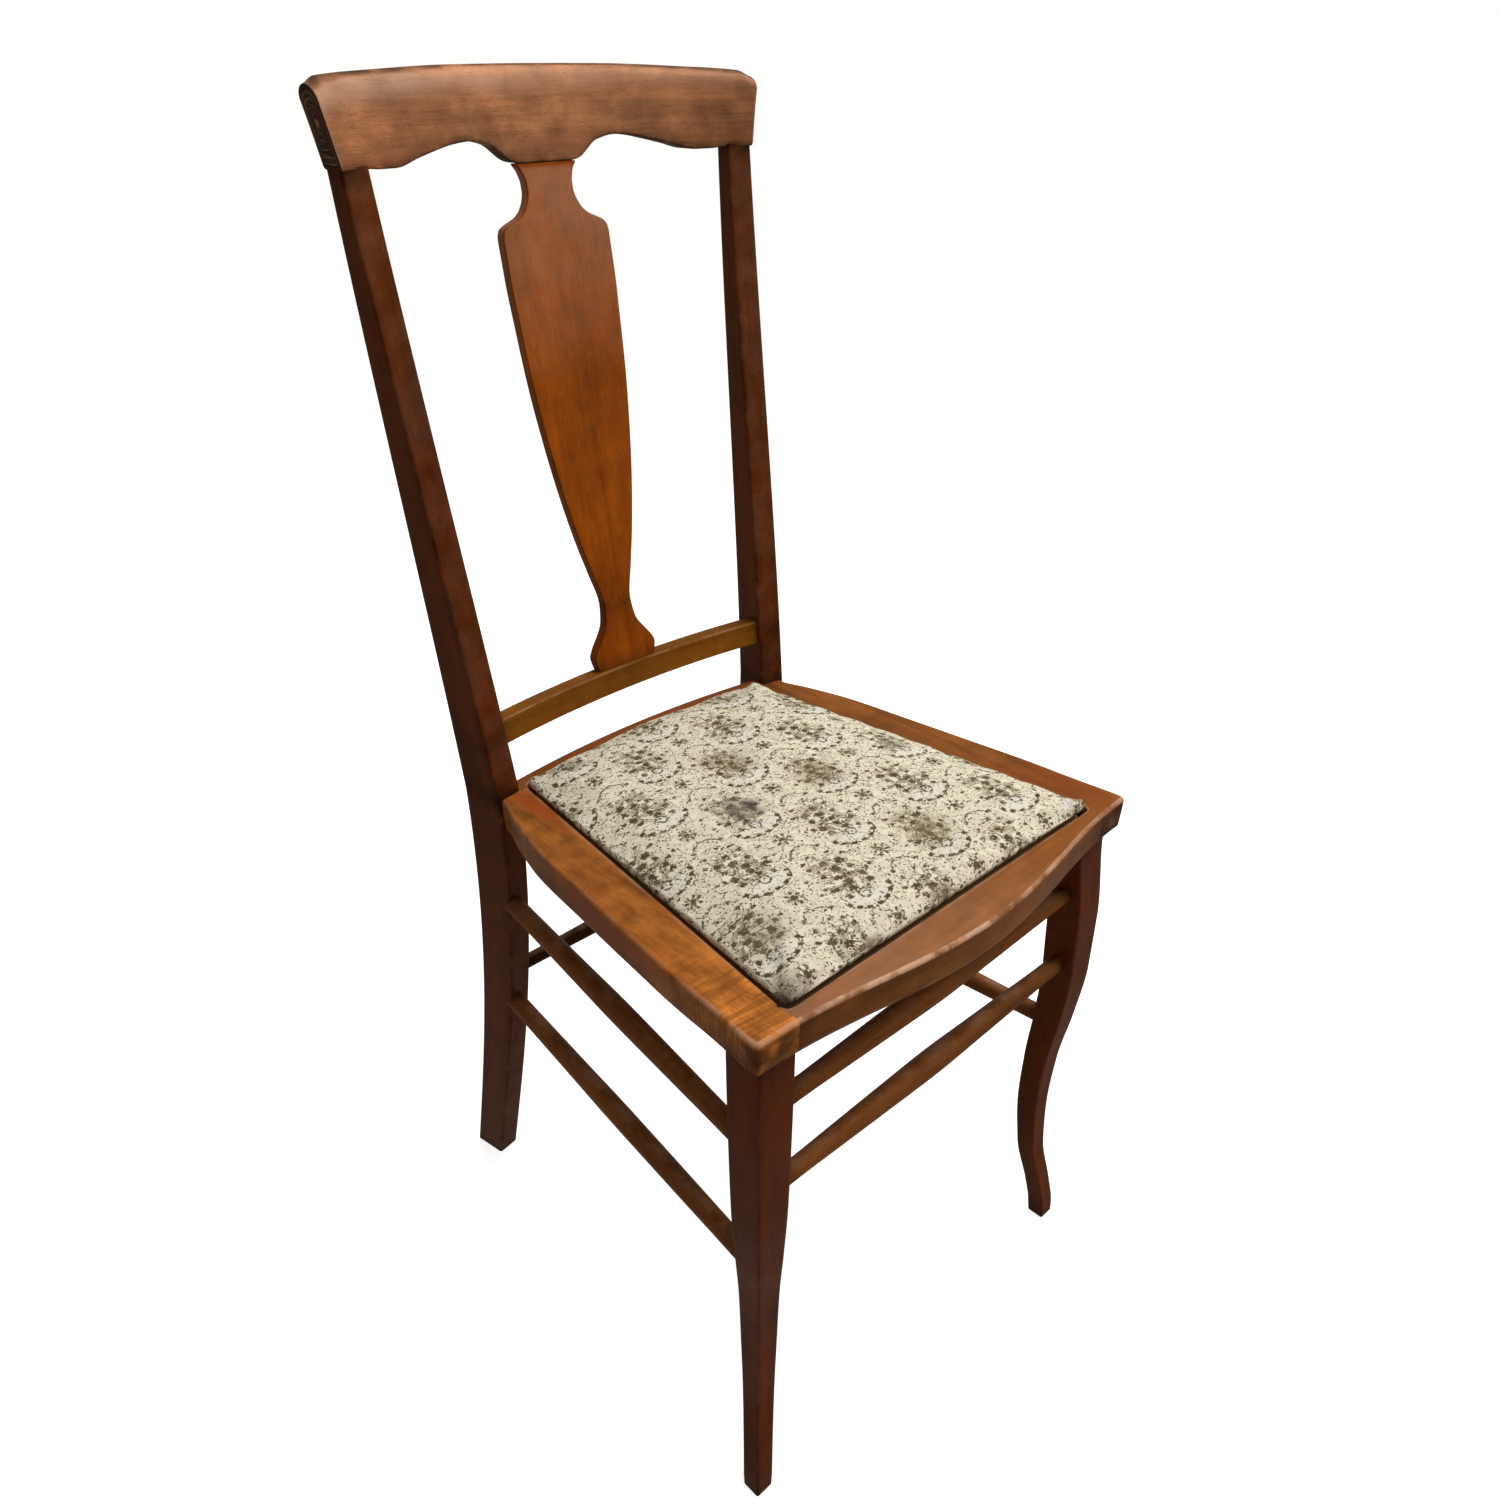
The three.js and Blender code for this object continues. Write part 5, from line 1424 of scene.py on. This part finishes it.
def swell(context, piece, floor, most):
    """Stuffs a cushion: an even mesh is blown up as cloth, and each point's move is then capped."""
    voxel, pressure, frames, aside = 4 * MM, 4, 20, 0.5 * MM
    remesh = piece.modifiers.new("even", "REMESH")
    remesh.mode, remesh.voxel_size = "VOXEL", voxel
    apply_modifiers(context, piece)
    start = points_of(piece.data)
    held = piece.vertex_groups.new(name="held")
    low = np.nonzero(start[:, 2] < floor + 3 * MM)[0]
    held.add(low.tolist(), 1.0, "REPLACE")
    cloth = piece.modifiers.new("stuffing", "CLOTH")
    cloth.settings.use_pressure = True
    cloth.settings.uniform_pressure_force = pressure
    cloth.settings.effector_weights.gravity = 0
    cloth.settings.vertex_group_mass = "held"
    cloth.settings.quality = 6
    for number in range(1, frames + 1):
        context.scene.frame_set(number)
    evaluated = piece.evaluated_get(context.evaluated_depsgraph_get())
    end = points_of(evaluated.data)
    move = end - start
    move[:, :2] = np.clip(move[:, :2], -aside, aside)
    move[:, 2] = np.clip(move[:, 2], -most, most)
    piece.modifiers.clear()
    piece.vertex_groups.clear()
    piece.data.vertices.foreach_set("co", (start + move).ravel())
    piece.data.update()
    context.scene.frame_set(1)


class ChairTacks(bpy.types.Operator):
    """Tacks that hold the dust cloth under the seat"""

    bl_idname = "chair.tacks"
    bl_label = "Tacks"

    def execute(self, context):
        """Each head is a low dome: rings of a quarter circle turned about the tack's line."""
        sizes = context.scene.chair_cushion
        edge = opening_ring(context, TACK_INSET)
        full = np.concatenate([edge, edge[:1]])
        walked = np.linalg.norm(np.diff(full, axis=0), axis=1).sum()
        spots = resample(full, round(walked / sizes.tack_spacing) + 1)[:-1]
        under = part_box("bottom_cloth")[0].z
        sides, dome = 12, 0.6 * MM
        turn = np.linspace(0, TURN, sides + 1)[:-1]
        rise = (np.array([0, 30, 60]) * np.pi / 180)[:, None]
        ring = np.stack([
            np.cos(rise) * np.cos(turn) * sizes.tack, np.cos(rise) * np.sin(turn) * sizes.tack,
            -np.sin(rise) * np.ones_like(turn) * dome,
        ], -1).reshape(-1, 3)
        head = np.vstack([ring, [[0, 0, -dome], [0, 0, 0]]])
        here = np.arange(sides)
        after = (here + 1) % sides
        belt = np.stack([here, here + sides, after + sides, after], -1)
        quads = np.concatenate([belt, belt + sides])
        top, tip, foot = 2 * sides, 3 * sides, 3 * sides + 1
        tips = np.concatenate([
            np.stack([top + here, np.full(sides, tip), top + after], -1),
            np.stack([after, np.full(sides, foot), here], -1),
        ])
        places = np.c_[spots, np.zeros(len(spots))] + [0, line_depth(context), under]
        points = (places[:, None] + head).reshape(-1, 3)
        shift = (np.arange(len(spots)) * len(head))[:, None, None]
        faces = (quads + shift).reshape(-1, 4).tolist() + (tips + shift).reshape(-1, 3).tolist()
        mesh = bpy.data.meshes.new("tacks")
        mesh.from_pydata(points, [], faces)
        mesh.shade_smooth()
        piece = bpy.data.objects.new("tacks", mesh)
        context.scene.collection.objects.link(piece)
        mesh.materials.append(steel(context))
        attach(piece, SEAT_BODY)
        return {"FINISHED"}


class ChairCloths(bpy.types.Operator):
    """Dust cloth, hessian and webbing of the drop-in seat"""

    bl_idname = "chair.cloths"
    bl_label = "Cloths and webbing"

    def execute(self, context):
        """Dust cloth under the drop-in frame, straps that cross on top of it, then hessian."""
        tones = context.scene.chair_finishes
        shade = tuple(tones.jute)
        hangs, level = 2.2 * MM, 0.1 * MM
        dust = woven("dust_cloth", tuple(tones.dust_cloth), 0.8 * MM, 0.8)
        edge = opening_ring(context, DUST_CLOTH_INSET)
        self.cloth(context, "dust_sheet", "bottom_cloth", edge, hangs, dust, "bottom_cloth")
        hessian = woven("hessian", scaled(shade, 0.85), 1.6 * MM, 0.9)
        edge = opening_ring(context, HESSIAN_INSET)
        self.cloth(context, "hessian_sheet", "base_cloth", edge, level, hessian, "base_hessian")
        jute = woven("jute_webbing", shade, 2.2 * MM, 0.7)
        for run in WEBBING_RUNS:
            self.strap(f"strap_{run}", f"webbing_{run}", jute)
        return {"FINISHED"}

    def cloth(self, context, name, node, edge, sag, material, slot):
        """Rings from the middle to the edge and back on top.

        The middle hangs by the sag times (1 minus the square of the ring's share) squared, and the
        edge rises and falls by a small cosine between its tacks.
        """
        low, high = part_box(node)
        keep = np.array([0.06, 0.2, 0.4, 0.6, 0.75, 0.87, 0.95, 1])[:, None]
        plan = drawn_in(edge, keep[..., None]) + [0, line_depth(context)]
        turn = np.linspace(0, TURN, len(edge), endpoint=False)
        hang = sag * (1 - keep**2) ** 2 + 0.12 * MM * keep**8 * np.cos(40 * turn)
        under = np.concatenate([plan, (low.z - hang)[..., None]], -1)
        points = np.concatenate([under, under[::-1] + [0, 0, high.z - low.z]])
        piece = add_skin(name, skin_rows(points, points, 0.0))
        self.place(piece, node, material, slot)

    def strap(self, name, node, material):
        """A thin section with round edges, carried along, whose width wavers a little."""
        low, high = (np.array(corner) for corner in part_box(node))
        size, middle = high - low, (low + high) / 2
        long, wide = (0, 1) if size[0] > size[1] else (1, 0)
        at = np.linspace(-0.5, 0.5, 61)
        width = size[wide] * (0.99 - 0.01 * np.sin(47 * at + 90 * middle[wide]))
        section, _ = rounded_section(width, 0 * at + size[2], 0.3 * MM, 2, 12)
        points = np.empty((*section.shape[:2], 3))
        points[..., long] = middle[long] + (size[long] * at)[:, None]
        points[..., wide] = middle[wide] + section[..., 0]
        points[..., 2] = middle[2] + section[..., 1]
        piece = add_skin(name, skin_rows(points, points, 0.0), "flat")
        self.place(piece, node, material, "webbing")

    def place(self, piece, node, material, slot):
        """Puts a soft piece in the place of a node, on the drop-in seat."""
        piece.data.materials.append(material)
        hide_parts(node)
        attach(piece, SEAT_BODY)


class ChairInside(bpy.types.Operator):
    """Finishes of the drop-in frame, blocks, screws and dowels"""

    bl_idname = "chair.inside"
    bl_label = "Inside pieces"

    def execute(self, context):
        """Gives each carried-over node its material."""
        finishes = {"pale_wood": bare_wood(context), "screw_steel": steel(context)}
        slots = {p["node"]: p["material_slot"] for p in frame["record"]["subparts"]}
        for name, node in frame["nodes"].items():
            material = finishes.get(slots[name])
            if material:
                node.data.materials.clear()
                node.data.materials.append(material)
        return {"FINISHED"}


class ChairStage(bpy.types.Operator):
    """Floor, lights and camera"""

    bl_idname = "chair.stage"
    bl_label = "Stage"

    def execute(self, context):
        """A wide pale floor, a large light overhead, a weak fill and the photograph's view."""
        scene, stage = context.scene, context.scene.chair_stage
        self.backdrop(scene, tuple(stage.floor), stage.glow)
        self.lamp(scene, "overhead", (0.75, -0.25, 2.3), (0, 0, 0.5), 1.9, stage.key)
        self.lamp(scene, "front_fill", (1.6, -2.4, 1.3), (0, 0, 0.45), 1.6, stage.fill)
        world = bpy.data.worlds.new("surround")
        world.use_nodes = True
        background = world.node_tree.nodes["Background"]
        background.inputs["Color"].default_value = (1, 0.94, 0.85, 1)
        background.inputs["Strength"].default_value = stage.sky
        scene.world = world
        scene.view_settings.view_transform = "Standard"
        camera = bpy.data.objects.new("camera", bpy.data.cameras.new("camera"))
        camera.location = CAMERA_PLACE
        camera.rotation_euler = Vector(CAMERA_AIM).to_track_quat("-Z", "Y").to_euler()
        camera.data.lens, camera.data.sensor_width = CAMERA_LENS, CAMERA_SENSOR
        scene.collection.objects.link(camera)
        scene.camera = camera
        return {"FINISHED"}

    def backdrop(self, scene, shade, glow):
        """Round floor whose rim rises in a quarter circle to a wall. It lights nothing else."""
        spokes, flat, bend, wall = 64, 9, 4, 9
        rise = np.linspace(0, np.pi / 2, 9)[1:]
        radius = np.concatenate([[0.001, 2, 5, flat], flat + bend * np.sin(rise), [flat + bend]])
        height = np.concatenate([[0, 0, 0, 0], bend * (1 - np.cos(rise)), [wall]])
        turn = np.linspace(0, TURN, spokes + 1)[:-1, None]
        points = np.stack([radius * np.cos(turn), radius * np.sin(turn), height + 0 * turn], -1)
        rings = len(radius)
        here = np.arange(spokes)[:, None] * rings + np.arange(rings - 1)
        after = (here + rings) % (spokes * rings)
        quads = np.stack([here, here + 1, after + 1, after], -1).reshape(-1, 4)
        mesh = bpy.data.meshes.new("floor")
        mesh.from_pydata(points.reshape(-1, 3), [], quads.tolist())
        mesh.shade_smooth()
        floor = bpy.data.objects.new("floor", mesh)
        scene.collection.objects.link(floor)
        paint = Paint("pale_floor")
        mottle = paint.noise(paint.object_place(), 3, 2)
        mesh.materials.append(paint.finish({
            "Base Color": paint.blend(mottle, scaled(shade, 0.985), shade),
            "Roughness": 0.9 + mottle * 0.05, "Specular IOR Level": 0.0,
            "Emission Color": (1, 1, 1, 1), "Emission Strength": glow,
        }))
        floor.visible_diffuse = floor.visible_glossy = False

    def lamp(self, scene, name, place, target, size, power):
        """Adds a square area light that faces a target."""
        light = bpy.data.lights.new(name, "AREA")
        light.shape, light.size, light.energy = "SQUARE", size, power
        lamp = bpy.data.objects.new(name, light)
        lamp.location = place
        lamp.rotation_euler = (Vector(target) - Vector(place)).to_track_quat("-Z", "Y").to_euler()
        scene.collection.objects.link(lamp)


MAKERS = (
    ChairPosts, ChairCrest, ChairSplat, ChairLowerRail, ChairSeatRails, ChairLegs, ChairStretchers,
    ChairCushion, ChairTacks, ChairCloths, ChairInside, ChairStage,
)
SETTINGS = {
    "chair_seat_frame": ChairSeatFrameSizes,
    "chair_back": ChairBackSizes,
    "chair_legs": ChairLegSizes,
    "chair_cushion": ChairCushionSizes,
    "chair_finishes": ChairFinishes,
    "chair_stage": ChairStageSettings,
}


class ChairPanel(bpy.types.Panel):
    """Lists the chair's settings and the buttons that build it"""

    bl_idname = "VIEW3D_PT_chair"
    bl_label = "Side chair"
    bl_space_type = "VIEW_3D"
    bl_region_type = "UI"
    bl_category = "Chair"

    def draw(self, context):
        for maker in MAKERS:
            self.layout.operator(maker.bl_idname)
        for name, group in SETTINGS.items():
            box = self.layout.box()
            box.label(text=group.__doc__)
            for prop in group.__annotations__:
                box.prop(getattr(context.scene, name), prop)


def register():
    """Registers the classes and hangs the settings on the scene."""
    for group in (*SETTINGS.values(), *MAKERS, ChairPanel):
        bpy.utils.register_class(group)
    for name, group in SETTINGS.items():
        setattr(bpy.types.Scene, name, bpy.props.PointerProperty(type=group))


def unregister():
    """Takes the settings and the classes away again."""
    for name in SETTINGS:
        delattr(bpy.types.Scene, name)
    for group in (ChairPanel, *reversed(MAKERS), *reversed(SETTINGS.values())):
        bpy.utils.unregister_class(group)


def main():
    """Builds the chair piece by piece."""
    register()
    for maker in MAKERS:
        group, name = maker.bl_idname.split(".")
        getattr(getattr(bpy.ops, group), name)()


if __name__ == "__main__":
    main()
